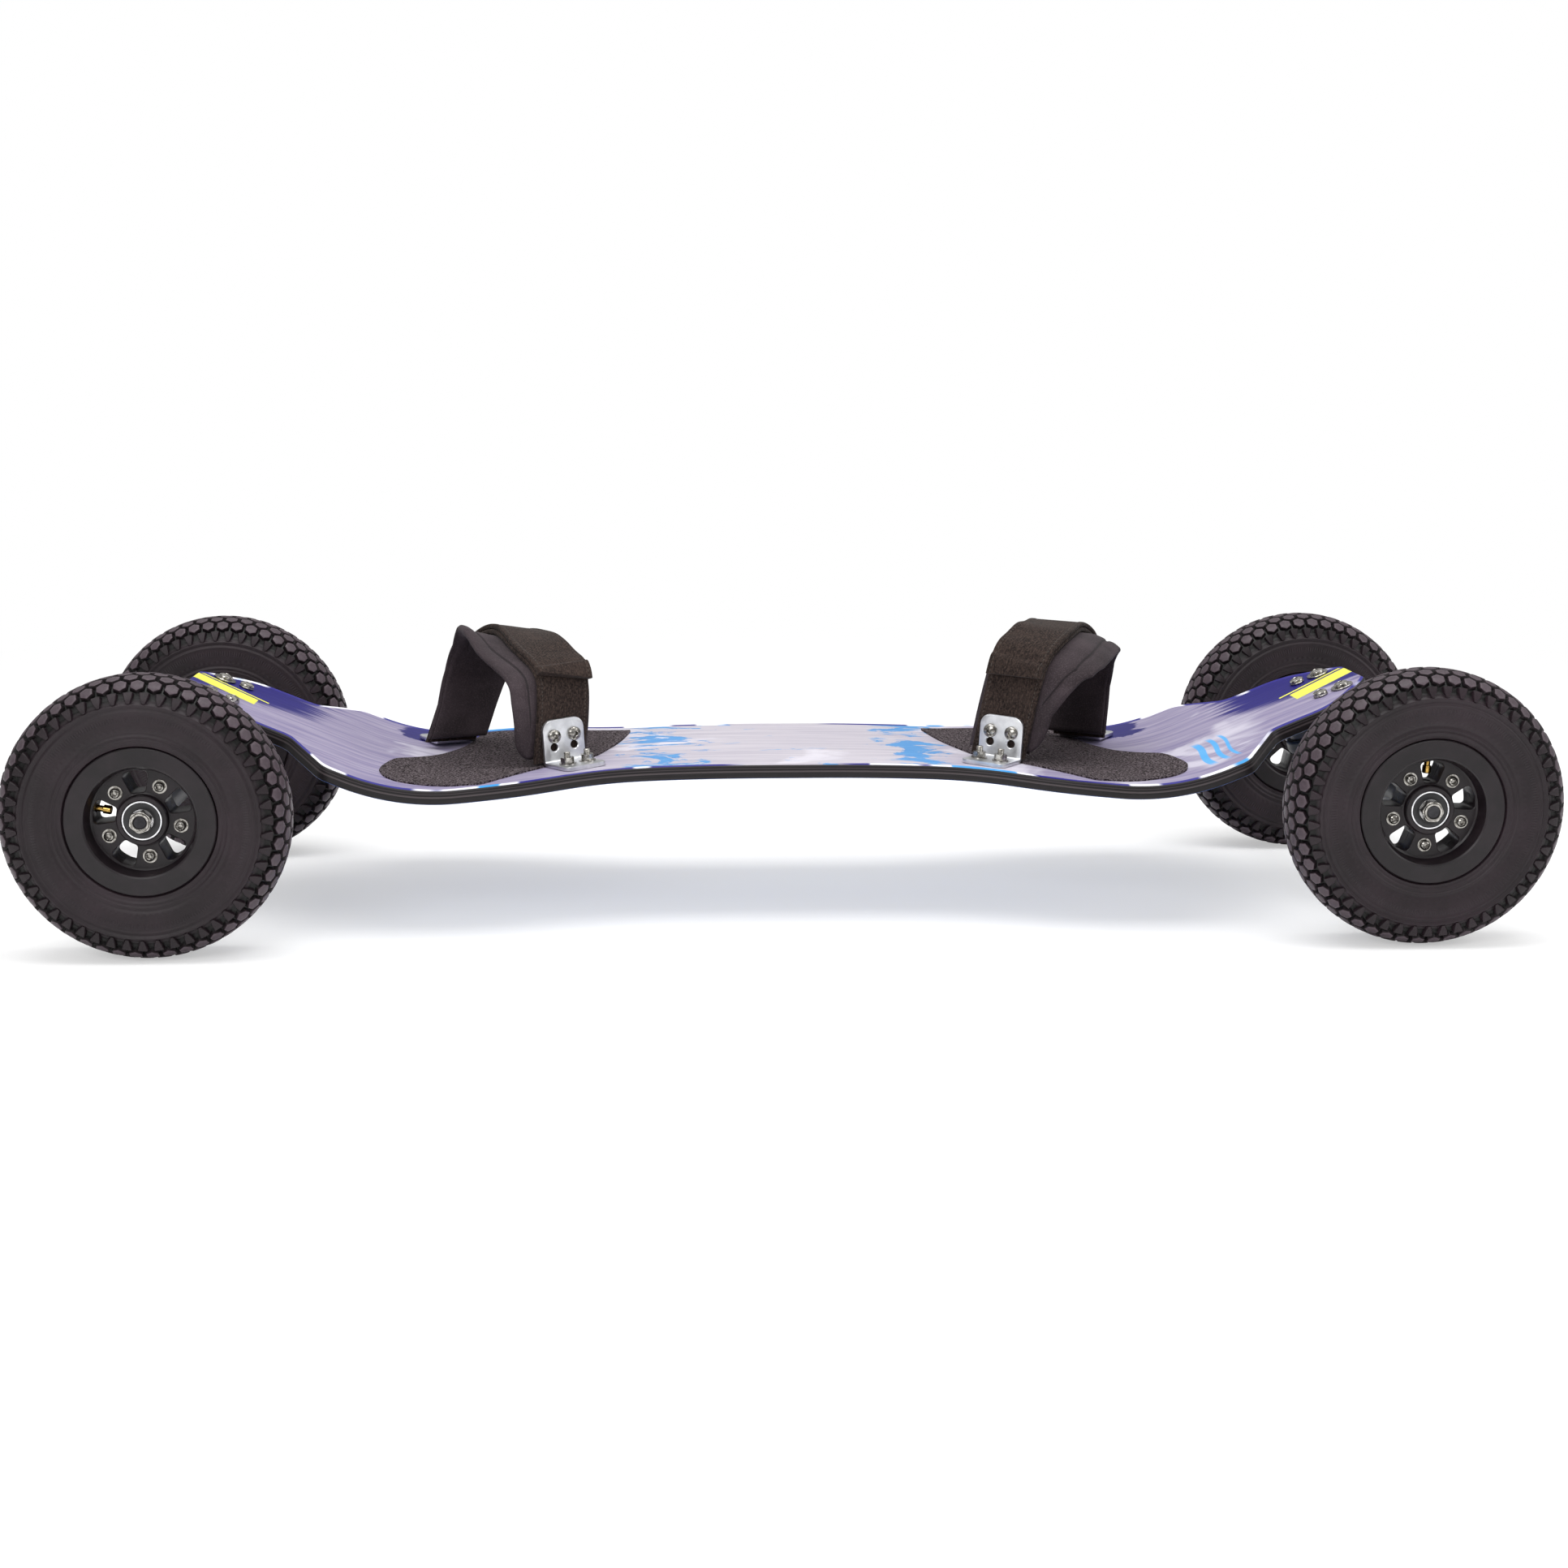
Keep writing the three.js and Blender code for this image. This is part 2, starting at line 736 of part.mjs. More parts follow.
// Carries loop sizes to the board: each leg stands square to its own bracket, and the arch blends the two.
const archStartShare = 0.2; // of the span, where one bracket's frame begins to turn into the other's
const archEndShare = 0.8;

function loopPlacer(foot) {
  const [near, far] = bracketFrames(foot);
  return (across, along, height) => {
    const lean = (height - strapBoltRise) / (loopHeight - strapBoltRise);
    const nearX = -foot.side * (across + foot.nearSway * lean);
    const farX = foot.side * (across + foot.farSway * lean);
    const nearHeight = height * foot.nearTop / loopHeight;
    const farHeight = height * foot.farTop / loopHeight;
    const fromNear = new THREE.Vector3(nearX, along, nearHeight).applyMatrix4(near);
    const fromFar = new THREE.Vector3(farX, loopSpan - along, farHeight).applyMatrix4(far);
    const start = loopSpan * archStartShare;
    const blend = THREE.MathUtils.smoothstep(along, start, loopSpan * archEndShare);
    return fromNear.lerp(fromFar, blend);
  };
}

// Rings along part of the loop. The section gives [across, outwards] points for a step and its place.
function loopForm(foot, fromStep, toStep, section) {
  const path = loopPath();
  const place = loopPlacer(foot);
  const rings = Array.from({ length: toStep - fromStep + 1 }, (_, k) => {
    const step = fromStep + k;
    const point = path.getPointAt(step / loopSteps);
    const tangent = path.getTangentAt(step / loopSteps);
    return section(step, point).map(([across, outwards]) => {
      return place(across, point.x - outwards * tangent.y, point.y + outwards * tangent.x);
    });
  });
  return loft(rings);
}

function strapSection(low, high) {
  const half = strapWidth / 2;
  return [[-half, low], [half, low], [half, high], [-half, high]];
}

function strapHoles(frame) {
  return [-1, 1].map((side) => {
    const radius = holeRound(strapBoltRadius, fit, hexSides);
    const hole = crossRod(radius, -fit, fit + strapThickness + overrun, hexSides);
    return hole.translate(side * strapBoltSpacing / 2, 0, strapBoltRise).applyMatrix4(frame);
  });
}

function nearStrap(foot) {
  const [near] = bracketFrames(foot);
  const form = loopForm(foot, 0, nearStrapSteps, () => strapSection(0, strapThickness));
  return cut(form, ...strapHoles(near));
}

function farStrap(foot) {
  const [, far] = bracketFrames(foot);
  const rise = strapThickness + layerGap;
  const form = loopForm(foot, flapStep, loopSteps, (step) => {
    const ramp = THREE.MathUtils.smoothstep(step, nearStrapSteps, nearStrapSteps + rampSteps);
    const low = rise * (1 - ramp);
    const fold = step <= flapStep + 1 ? strapThickness : 0;
    return strapSection(low, low + strapThickness + fold);
  });
  return cut(form, ...strapHoles(far));
}

// Pad under the straps: thick in the middle, thin at the rims, and flared and lifted on the toe side.
const padFlatShare = 0.6; // of half a strap, over which the pad keeps its thickness
const padMidShare = 0.8; // of that thickness, halfway from the strap to the rim
const padMidLiftShare = 0.3; // of the rim's droop, at the same place
const padHeelPower = 4; // how soon the heel side's droop grows towards the middle of the loop

function padRimAt(rims, share) {
  const k = rims.findIndex(([stop]) => share < stop);
  const [from, to] = [rims[k - 1], rims[k]];
  return to.map((value, column) => THREE.MathUtils.mapLinear(share, from[0], to[0], from[column], value));
}

function footPad(foot) {
  return loopForm(foot, padMargin, loopSteps - padMargin, (step) => {
    const share = step / loopSteps;
    const [, reachShare, droopShare] = padRimAt(foot.rims, share);
    const rim = padToe * reachShare;
    const lift = -padToeDroop * droopShare;
    const droop = padHeelDroop * Math.sin(Math.PI * share) ** padHeelPower;
    const half = strapWidth / 2;
    const flat = half * padFlatShare;
    const mid = (half + rim) / 2;
    const midTop = lift * padMidLiftShare - layerGap;
    return [
      [padHeel, -layerGap - (padThickness - padEdge) / 2 - droop],
      [half, -layerGap],
      [-half, -layerGap],
      [-mid, midTop],
      [-rim, lift - layerGap],
      [-rim, lift - layerGap - padEdge],
      [-mid, midTop - padThickness * padMidShare],
      [-flat, -layerGap - padThickness],
      [flat, -layerGap - padThickness],
      [padHeel, -layerGap - (padThickness + padEdge) / 2 - droop],
    ];
  });
}

addMesh(board, 'deck', deck(), finishes.deck);
for (const foot of feet) {
  addMesh(board, `grip_${foot.name}`, gripPad(foot), finishes.grip);
  bracketFrames(foot).forEach((frame, k) => {
    const name = `bracket_${foot.name}_${['right', 'left'][k]}`;
    addMesh(board, name, bracket(frame), finishes.bracket).applyMatrix4(frame);
  });
  addMesh(board, `strap_${foot.name}_right`, nearStrap(foot), finishes.webbing);
  addMesh(board, `strap_${foot.name}_left`, farStrap(foot), finishes.webbing);
  addMesh(board, `foot_pad_${foot.name}`, footPad(foot), finishes.pad);
}

// Trucks, in the frame of truckFrame

const baseplateTop = axleDrop - fit;
const baseplateUnder = baseplateTop - baseplateThickness;
const kingpinSeat = baseplateUnder - kingpinBossHeight;
const upperBushingFoot = kingpinSeat - fit - upperBushingHeight;
const hangerRingTop = upperBushingFoot - fit;
const hangerRingFoot = hangerRingTop - hangerRingHeight;
const hangerRingMiddle = (hangerRingTop + hangerRingFoot) / 2;
const lowerBushingFoot = hangerRingFoot - fit - lowerBushingHeight;
const cupWasherFoot = lowerBushingFoot - fit - cupWasherHeight;
const kingpinNutFoot = cupWasherFoot - fit - kingpinNutHeight;
const pivotHeight = baseplateUnder - pivotDrop;

// The hanger leans about the line from the middle of its ring to the pivot.
const leanRun = pivotReach + kingpinInset;
const leanTilt = Math.atan2(pivotHeight - hangerRingMiddle, leanRun);
const leanLength = Math.hypot(leanRun, pivotHeight - hangerRingMiddle);
const pivotCupStart = leanLength - pivotCupLength / 2;
const pivotCupEnd = leanLength + pivotCupLength / 2;
const pivotPinEnd = pivotCupEnd - pivotCupWall - fit;
const pivotCupOuter = holeRound(pivotPinRadius, fit, ringSides) + pivotCupWall;

function alongLean(piece) {
  return piece.rotateY(Math.PI / 2 - leanTilt).translate(-kingpinInset, 0, hangerRingMiddle);
}

function aboutKingpin(piece) {
  return piece.translate(-kingpinInset, 0, 0);
}

function baseplate() {
  const outlineShape = roundedLine(new THREE.Shape(), [
    [-baseplateInner, -baseplateHalf, baseplateRound],
    [baseplateTaper, -baseplateHalf, baseplateRound],
    [baseplateOuter, -baseplateNoseHalf, baseplateRound],
    [baseplateOuter, baseplateNoseHalf, baseplateRound],
    [baseplateTaper, baseplateHalf, baseplateRound],
    [-baseplateInner, baseplateHalf, baseplateRound],
  ], true);
  const housingShape = new THREE.Shape();
  housingShape.absarc(0, 0, pivotHousingRadius, -Math.PI / 2, Math.PI / 2);
  housingShape.lineTo(-pivotHousingRise, pivotHousingRadius);
  housingShape.lineTo(-pivotHousingRise, -pivotHousingRadius);
  const housingStart = leanLength - pivotHousingLength / 2;
  const solid = joined(
    prism(outlineShape, baseplateUnder, baseplateTop),
    aboutKingpin(rod(kingpinBossRadius, kingpinSeat, baseplateTop - fit, ringSides)),
    alongLean(prism(housingShape, housingStart, housingStart + pivotHousingLength)),
  );
  const kingpinBore = holeRound(kingpinRadius, fit, ringSides);
  const headPocket = holeRound(kingpinHeadRadius * Math.cos(Math.PI / hexSides), fit, hexSides);
  const pocketFoot = baseplateTop - kingpinHeadHeight - fit;
  const cupSeat = holeRound(pivotCupOuter, fit, ringSides);
  const drilled = cut(
    solid,
    aboutKingpin(rod(kingpinBore, kingpinSeat - overrun, baseplateTop, ringSides)),
    aboutKingpin(rod(headPocket, pocketFoot, baseplateTop + overrun, hexSides)),
    alongLean(rod(cupSeat, housingStart - overrun, pivotCupEnd + fit, ringSides)),
  );
  return joined(drilled, ...truckBolts());
}

// Bolts through the deck, with their heads and washers on top and their nuts under the baseplate.
function truckBolts() {
  const deckTop = axleDrop + deckThickness + fit;
  const nutFoot = baseplateUnder - truckNutHeight;
  return [0, truckBoltAlong].flatMap((inset) => [-1, 1].map((side) => {
    const washer = inset ? truckBoltHeadRadius : wideWasherRadius;
    const headFoot = deckTop + washerThickness;
    const headTop = headFoot + truckBoltHeadHeight;
    const bolt = turnedUpright([
      [0, headTop],
      [truckBoltHeadRadius, headTop],
      [truckBoltHeadRadius, headFoot],
      [washer, headFoot],
      [washer, deckTop],
      [truckBoltRadius, deckTop],
      [truckBoltRadius, nutFoot - truckBoltRadius],
      [0, nutFoot - truckBoltRadius],
    ], hexSides);
    const nut = rod(truckNutRadius, nutFoot, baseplateUnder + fit, hexSides);
    return joined(bolt, nut).translate([-inset, side * truckBoltAcross / 2, 0]);
  }));
}

function kingpin() {
  const headFoot = baseplateTop - kingpinHeadHeight;
  return aboutKingpin(geometryOf(joined(
    rod(kingpinRadius, kingpinNutFoot - kingpinStub, baseplateTop - fit, ringSides),
    rod(kingpinHeadRadius, headFoot, baseplateTop, hexSides),
  )));
}

function bushing(foot, height) {
  const bore = holeRound(kingpinRadius, fit, ringSides);
  return aboutKingpin(turnedUpright([
    [bore, foot],
    [bushingRadius, foot],
    [bushingWaist, foot + height / 2],
    [bushingRadius, foot + height],
    [bore, foot + height],
  ], ringSides));
}

// The cup washer and the nut that hold the bushings.
function kingpinNut() {
  const bore = holeRound(kingpinRadius, fit, ringSides);
  const washer = turnedUpright([
    [bore, cupWasherFoot],
    [cupWasherRadius - cupWasherHeight, cupWasherFoot],
    [cupWasherRadius, cupWasherFoot + cupWasherHeight],
    [bore, cupWasherFoot + cupWasherHeight],
  ], ringSides);
  const nutBore = holeRound(kingpinRadius, fit, hexSides);
  const nut = turnedUpright([
    [nutBore, kingpinNutFoot],
    [kingpinNutRadius, kingpinNutFoot],
    [kingpinNutRadius, cupWasherFoot + fit],
    [nutBore, cupWasherFoot + fit],
  ], hexSides);
  return aboutKingpin(geometryOf(joined(washer, nut)));
}

function pivotCup() {
  const bore = holeRound(pivotPinRadius, fit, ringSides);
  return alongLean(turnedUpright([
    [0, pivotCupEnd],
    [pivotCupOuter, pivotCupEnd],
    [pivotCupOuter, pivotCupStart],
    [bore, pivotCupStart],
    [bore, pivotCupEnd - pivotCupWall],
    [0, pivotCupEnd - pivotCupWall],
  ], ringSides));
}

// Hanger: sleeve round the axle, a wing up to the lean line, the ring between the bushings and the pivot pin.
function hanger() {
  const end = track / 2 - bearingFace - fit;
  const shoulder = end - sleeveEndLength;
  const step = sleeveRadius - sleeveEndRadius;
  const sleeve = turned([
    [0, -end],
    [sleeveEndRadius, -end],
    [sleeveEndRadius, -shoulder],
    [sleeveRadius, step - shoulder],
    [sleeveRadius, shoulder - step],
    [sleeveEndRadius, shoulder],
    [sleeveEndRadius, end],
    [0, end],
  ], ringSides);
  const wing = new THREE.Shape();
  wing.moveTo(-hangerWingHalf, 0);
  wing.lineTo(hangerWingHalf, 0);
  wing.lineTo(hangerRibHalf, hangerRingMiddle);
  wing.lineTo(-hangerRibHalf, hangerRingMiddle);
  const ribFace = -kingpinInset + bushingRadius + fit;
  const rib = new THREE.Shape();
  rib.moveTo(hangerWingThickness / 2, 0);
  rib.lineTo(hangerWingThickness / 2, hangerRingMiddle);
  rib.lineTo(ribFace, hangerRingTop);
  rib.lineTo(ribFace, hangerRingFoot);
  rib.lineTo(-hangerWingThickness / 2, sleeveRadius);
  rib.lineTo(-hangerWingThickness / 2, 0);
  const neckClear = bushingRadius + fit + hangerNeckRadius * Math.sin(leanTilt);
  const neckStart = neckClear / Math.cos(leanTilt);
  const neckEnd = leanLength - pivotHousingLength / 2 - hangerWingThickness / 4;
  const tipLength = pivotPinRadius / 3;
  const pin = turnedUpright([
    [0, pivotPinEnd],
    [pivotPinRadius - tipLength, pivotPinEnd],
    [pivotPinRadius, pivotPinEnd - tipLength],
    [pivotPinRadius, neckStart],
    [0, neckStart],
  ], ringSides);
  const solid = joined(
    sleeve,
    alongX(prism(wing, -hangerWingThickness / 2, hangerWingThickness / 2)),
    prism(rib, -hangerRibHalf, hangerRibHalf).rotateX(Math.PI / 2),
    aboutKingpin(rod(hangerRingRadius, hangerRingFoot, hangerRingTop, ringSides)),
    alongLean(rod(hangerNeckRadius, neckStart, neckEnd, ringSides)),
    alongLean(pin),
  );
  return cut(
    solid,
    crossRod(holeRound(axleRadius, fit, ringSides), -end - overrun, end + overrun, ringSides),
    aboutKingpin(rod(hangerRingBore, hangerRingFoot - overrun, hangerRingTop + overrun, ringSides)),
  );
}

function axle() {
  const end = track / 2 + axleEnd;
  return crossRod(axleRadius, -end, end, ringSides);
}

// Wheels: the axis is Y, and the outer side is +Y.

// Radius of the knobs' tops over the tread's width.
const crownPower = 2.5; // flat in the middle, and steeper towards the shoulders

function crownRadius(across) {
  return tyreRadius - crownDrop * Math.abs(across / tyreHalf) ** crownPower;
}

// Tyre: a casing open towards the hub, with staggered knobs. Neighbouring rows share the line between them.
function tyre() {
  const columns = 2 * knobCount;
  const step = 2 * Math.PI / columns;
  const points = [];
  const faces = [];
  const place = (radius, across, column) => {
    const turn = column * step;
    points.push(new THREE.Vector3(radius * Math.cos(turn), across, radius * Math.sin(turn)));
    return points.length - 1;
  };
  const hoop = (count, radius, acrossOf) => Array.from({ length: count + 1 }, (_, k) => {
    return place(radius, acrossOf(k), (k % count) * columns / count);
  });
  const strip = (from, to) => {
    for (let k = 0; k < knobCount; k++) {
      faces.push(from[k], to[k], to[k + 1]);
      faces.push(from[k], to[k + 1], from[k + 1]);
    }
  };

  // Casing, in hoops with one point for each knob
  const innerHalf = tyreHalf - casingWall;
  const innerCrown = crownRadius(innerHalf / 2) - knobHeight - casingWall;
  const beadSeat = holeRound(rimSeatRadius, fit, knobCount);
  const beadHalf = rimSeatHalf - fit;
  const casing = [
    [innerCrown, innerHalf / 2],
    [widestRadius - casingWall, innerHalf],
    [beadSeat, beadHalf - beadThickness],
    [beadSeat, beadHalf],
    [rimEdgeRadius, beadHalf + fit],
    [widestRadius, tyreHalf],
  ];
  const hoops = [-1, 1].map((side) => casing.map(([radius, across]) => {
    return hoop(knobCount, radius, () => side * across);
  }));
  const [near, far] = hoops;
  far.reverse();
  for (const half of hoops) {
    for (let k = 0; k + 1 < half.length; k++) strip(half[k], half[k + 1]);
  }
  strip(far.at(-1), near[0]);

  // Lines between the rows of knobs, with two points for each knob
  const rowWidth = 2 * treadHalf / knobRows;
  const lines = Array.from({ length: knobRows + 1 }, (_, row) => {
    const across = row * rowWidth - treadHalf;
    const skew = row % knobRows ? knobSkew : 0;
    return hoop(columns, crownRadius(across) - knobHeight, (k) => across + (k % 2 ? skew : -skew));
  });
  const [first, last] = [lines[0], lines.at(-1)];
  for (let k = 0; k < knobCount; k++) {
    const from = near.at(-1);
    const to = far[0];
    const c = 2 * k;
    faces.push(from[k], first[c], first[c + 1], from[k], first[c + 1], from[k + 1]);
    faces.push(from[k + 1], first[c + 1], first[c + 2]);
    faces.push(last[c], to[k], last[c + 1], last[c + 1], to[k], to[k + 1]);
    faces.push(last[c + 1], to[k + 1], last[c + 2]);
  }

  const inset = knobInset / (tyreRadius * step);
  const between = knobInset + knobSkew;
  for (let row = 0; row < knobRows; row++) {
    const low = row * rowWidth - treadHalf + (row ? between : 0);
    const high = (row + 1) * rowWidth - treadHalf - (row + 1 < knobRows ? between : 0);
    for (let knob = 0; knob < knobCount; knob++) {
      const c = 2 * knob + (row % 2);
      const [a, b] = [lines[row], lines[row + 1]];
      const [a0, a1, a2] = [a[c], a[c + 1], a[(c + 2) % columns]];
      const [b0, b1, b2] = [b[c], b[c + 1], b[(c + 2) % columns]];
      const t00 = place(crownRadius(low), low, c + inset);
      const t01 = place(crownRadius(high), high, c + inset);
      const t11 = place(crownRadius(high), high, c + 2 - inset);
      const t10 = place(crownRadius(low), low, c + 2 - inset);
      faces.push(a0, t00, a1, a1, t00, t10, a1, t10, a2);
      faces.push(t01, b0, b1, t01, b1, t11, t11, b1, b2);
      faces.push(a0, b0, t01, a0, t01, t00, t10, t11, b2, t10, b2, a2);
      faces.push(t00, t01, t11, t00, t11, t10);
    }
  }
  return skin(points, faces);
}

// Inner tube, blown up inside the casing, with its valve stem through the rim.
function innerTube() {
  const foot = holeRound(rimSeatRadius, fit, ringSides);
  const sideHalf = tyreHalf - casingWall - tubeSideGap;
  const crown = crownRadius(sideHalf / 2) - knobHeight - casingWall - tubeCrownGap;
  const ring = turned([
    [foot, -tubeFootHalf],
    [widestRadius - casingWall, -sideHalf],
    [crown, -sideHalf / 2],
    [crown, sideHalf / 2],
    [widestRadius - casingWall, sideHalf],
    [foot, tubeFootHalf],
  ], ringSides);
  return joined(ring, rod(valveRadius, valveTip, foot + overrun, hexSides).rotateY(-Math.PI / 2));
}

// Half of a hub: rim flange, bead seat, spokes between windows, and the boss that holds a bearing.
// The valve's half of its hole is opposite a spoke, so that it still lies right in a half that is turned over.
function hubHalf() {
  const split = fit / 2;
  const seatFloor = bearingFace - bearingWidth - fit;
  const seat = holeRound(bearingRadius, fit, ringSides);
  const body = turned([
    [hubBore, split],
    [rimSeatRadius, split],
    [rimSeatRadius, rimSeatHalf],
    [rimFlangeRadius, rimSeatHalf + fit],
    [rimFlangeRadius, rimFlangeFace],
    [barrelRadius, spokeFace],
    [bossRadius, spokeFace],
    [bossRadius, bossFace],
    [seat, bossFace],
    [seat, seatFloor],
    [hubBore, seatFloor],
  ], hubSides);
  const outer = barrelRadius - windowRim;
  const corners = [[windowInner, -1], [outer, -1], [outer, 0], [outer, 1], [windowInner, 1]];
  const windowShape = new THREE.Shape(corners.map(([radius, side]) => {
    return new THREE.Vector2(radius, 0).rotateAround(new THREE.Vector2(), side * windowAngle / 2);
  }));
  const windows = Array.from({ length: spokeCount }, (_, k) => {
    const turn = 2 * Math.PI * (k + 0.5) / spokeCount;
    return prism(windowShape, -overrun, spokeFace + overrun).rotateX(-Math.PI / 2).rotateY(turn);
  });
  const valveBore = holeRound(valveRadius, fit, hexSides);
  const valveHole = rod(valveBore, windowInner, rimSeatRadius + overrun, hexSides);
  return cut(body, ...windows, valveHole.rotateY(-Math.PI / 2));
}

// Heads of the bolts that hold the two halves together.
function hubBolts() {
  return Array.from({ length: spokeCount }, (_, k) => {
    const bolt = crossRod(hubBoltRadius, spokeFace - fit, spokeFace + hubBoltHeight, hexSides);
    return bolt.translate(hubBoltCircle, 0, 0).rotateY(2 * Math.PI * k / spokeCount);
  });
}

function bearing() {
  const bore = holeRound(axleRadius, fit, ringSides);
  return turned([
    [bore, bearingFace - bearingWidth],
    [bearingRadius, bearingFace - bearingWidth],
    [bearingRadius, bearingFace],
    [bore, bearingFace],
  ], ringSides);
}

function axleNut() {
  const bore = holeRound(axleRadius, fit, hexSides);
  const foot = bearingFace + fit;
  return turned([
    [bore, foot],
    [axleNutRadius, foot],
    [axleNutRadius, foot + axleNutHeight],
    [bore, foot + axleNutHeight],
  ], hexSides);
}

function addWheel(parent, name, side, phase) {
  const wheel = new THREE.Group();
  wheel.position.y = side * track / 2;
  wheel.rotation.z = side < 0 ? Math.PI : 0;
  parent.add(wheel);
  addMesh(wheel, `tyre_${name}`, tyre(), finishes.tyre);
  const hub = new THREE.Group();
  hub.rotation.y = phase;
  wheel.add(hub);
  addMesh(hub, `inner_tube_${name}`, innerTube(), finishes.tube);
  addMesh(hub, `hub_outer_${name}`, joined(hubHalf(), ...hubBolts()), finishes.hub);
  addMesh(hub, `hub_inner_${name}`, hubHalf(), finishes.hub).rotation.x = Math.PI;
  addMesh(hub, `bearing_outer_${name}`, bearing(), finishes.bearing);
  addMesh(hub, `bearing_inner_${name}`, bearing(), finishes.bearing).rotation.x = Math.PI;
  addMesh(hub, `axle_nut_${name}`, axleNut(), finishes.steel);
}

const ends = [
  { name: 'tail', side: -1, phases: [24, 170] },
  { name: 'nose', side: 1, phases: [87, 12] },
];

for (const { name, side, phases } of ends) {
  const end = new THREE.Group();
  end.position.set(side * wheelbase / 2, 0, tyreRadius);
  end.rotation.z = side < 0 ? Math.PI : 0;
  board.add(end);
  const truck = new THREE.Group();
  truck.rotation.y = -kickAngle;
  end.add(truck);
  addMesh(truck, `baseplate_${name}`, baseplate(), finishes.casting);
  addMesh(truck, `kingpin_${name}`, kingpin(), finishes.steel);
  addMesh(truck, `kingpin_nut_${name}`, kingpinNut(), finishes.steel);
  addMesh(truck, `bushing_upper_${name}`, bushing(upperBushingFoot, upperBushingHeight), finishes.bushing);
  addMesh(truck, `bushing_lower_${name}`, bushing(lowerBushingFoot, lowerBushingHeight), finishes.bushing);
  addMesh(truck, `pivot_cup_${name}`, pivotCup(), finishes.cup);
  addMesh(truck, `hanger_${name}`, hanger(), finishes.casting);
  addMesh(truck, `axle_${name}`, axle(), finishes.steel);
  for (const [k, across] of [-1, 1].entries()) {
    const word = across * side < 0 ? 'right' : 'left';
    addWheel(end, `${name}_${word}`, across, THREE.MathUtils.degToRad(phases[k]));
  }
}

board.updateMatrixWorld();
export default board;
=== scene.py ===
import json
import math

import bmesh
import bpy
import mathutils
import numpy as np
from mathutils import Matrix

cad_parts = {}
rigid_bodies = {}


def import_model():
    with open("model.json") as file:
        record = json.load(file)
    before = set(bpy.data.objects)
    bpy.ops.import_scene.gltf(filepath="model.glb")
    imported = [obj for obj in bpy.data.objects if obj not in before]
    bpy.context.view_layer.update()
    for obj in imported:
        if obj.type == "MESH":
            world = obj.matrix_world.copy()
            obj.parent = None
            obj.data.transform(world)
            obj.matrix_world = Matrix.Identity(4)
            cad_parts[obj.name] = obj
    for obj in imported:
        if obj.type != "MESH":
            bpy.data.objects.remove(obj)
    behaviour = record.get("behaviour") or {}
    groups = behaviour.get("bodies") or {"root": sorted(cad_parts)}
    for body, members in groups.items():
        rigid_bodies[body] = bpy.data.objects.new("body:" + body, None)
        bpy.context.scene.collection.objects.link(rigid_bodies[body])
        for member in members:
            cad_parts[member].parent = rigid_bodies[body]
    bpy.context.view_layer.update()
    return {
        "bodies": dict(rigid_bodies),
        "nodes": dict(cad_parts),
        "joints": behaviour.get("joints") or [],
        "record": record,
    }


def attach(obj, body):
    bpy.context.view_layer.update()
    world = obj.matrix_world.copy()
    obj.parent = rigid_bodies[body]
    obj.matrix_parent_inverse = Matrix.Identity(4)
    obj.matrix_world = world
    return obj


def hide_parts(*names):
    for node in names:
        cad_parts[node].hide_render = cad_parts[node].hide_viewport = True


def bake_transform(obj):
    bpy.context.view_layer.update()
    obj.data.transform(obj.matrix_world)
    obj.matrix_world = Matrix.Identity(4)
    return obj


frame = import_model()
print("frame loaded")

# Lengths are in millimetres up to the meshes, which are in metres.


def clamped(values, low=0.0, high=1.0):
    return np.minimum(np.maximum(values, low), high)


def smoothStep(values, low, high):
    # three times the share squared less twice its cube, held between 0 and 1
    share = clamped((np.asarray(values, dtype=float) - low) / (high - low))
    return share * share * (3 - 2 * share)


def turnAbout(axis, degrees):
    # rotation by an angle about X, Y or Z, as a 4 x 4 matrix
    c, s = math.cos(math.radians(degrees)), math.sin(math.radians(degrees))
    a, b = {"x": (1, 2), "y": (2, 0), "z": (0, 1)}[axis]
    matrix = np.eye(4)
    matrix[a, a] = matrix[b, b] = c
    matrix[a, b], matrix[b, a] = -s, s
    return matrix


def wholeTurn(count):
    return np.linspace(0, 2 * math.pi, count, endpoint=False)


def moveBy(x, y, z):
    matrix = np.eye(4)
    matrix[:3, 3] = x, y, z
    return matrix


def carried(matrix, points):
    return points @ matrix[:3, :3].T + matrix[:3, 3]


def spots(*columns):
    # points from X, Y and Z given as numbers or arrays of one shape
    return np.stack(np.broadcast_arrays(*[np.asarray(c, dtype=float) for c in columns]), -1)


def onCircle(radius, angles, height):
    # points round Z by their radius, angle and height
    return spots(radius * np.cos(angles), radius * np.sin(angles), height)


def smoothBetween(a, b, c, d, t):
    # the cubic from b to c by the share t, with half of c - a and half of d - b as its slopes there
    return b + 0.5 * ((c - a) * t + (2 * a - 5 * b + 4 * c - d) * t ** 2 + (3 * b - a - 3 * c + d) * t ** 3)


def roundedCorners(corners, closed=True, steps=5):
    # straight lines through [x, y, round] corners, with a quadratic curve in place of each corner
    places = np.array([corner[:2] for corner in corners], dtype=float)
    line = []
    for k, corner in enumerate(corners):
        end = not closed and k in (0, len(corners) - 1)
        if end or not corner[2]:
            line.append(places[k][None])
            continue
        before = places[k - 1] - places[k]
        after = places[(k + 1) % len(corners)] - places[k]
        start = places[k] + before / np.linalg.norm(before) * corner[2]
        stop = places[k] + after / np.linalg.norm(after) * corner[2]
        t = np.linspace(0, 1, steps + 1)[:, None]
        line.append((1 - t) ** 2 * start + 2 * t * (1 - t) * places[k] + t ** 2 * stop)
    return np.concatenate(line)


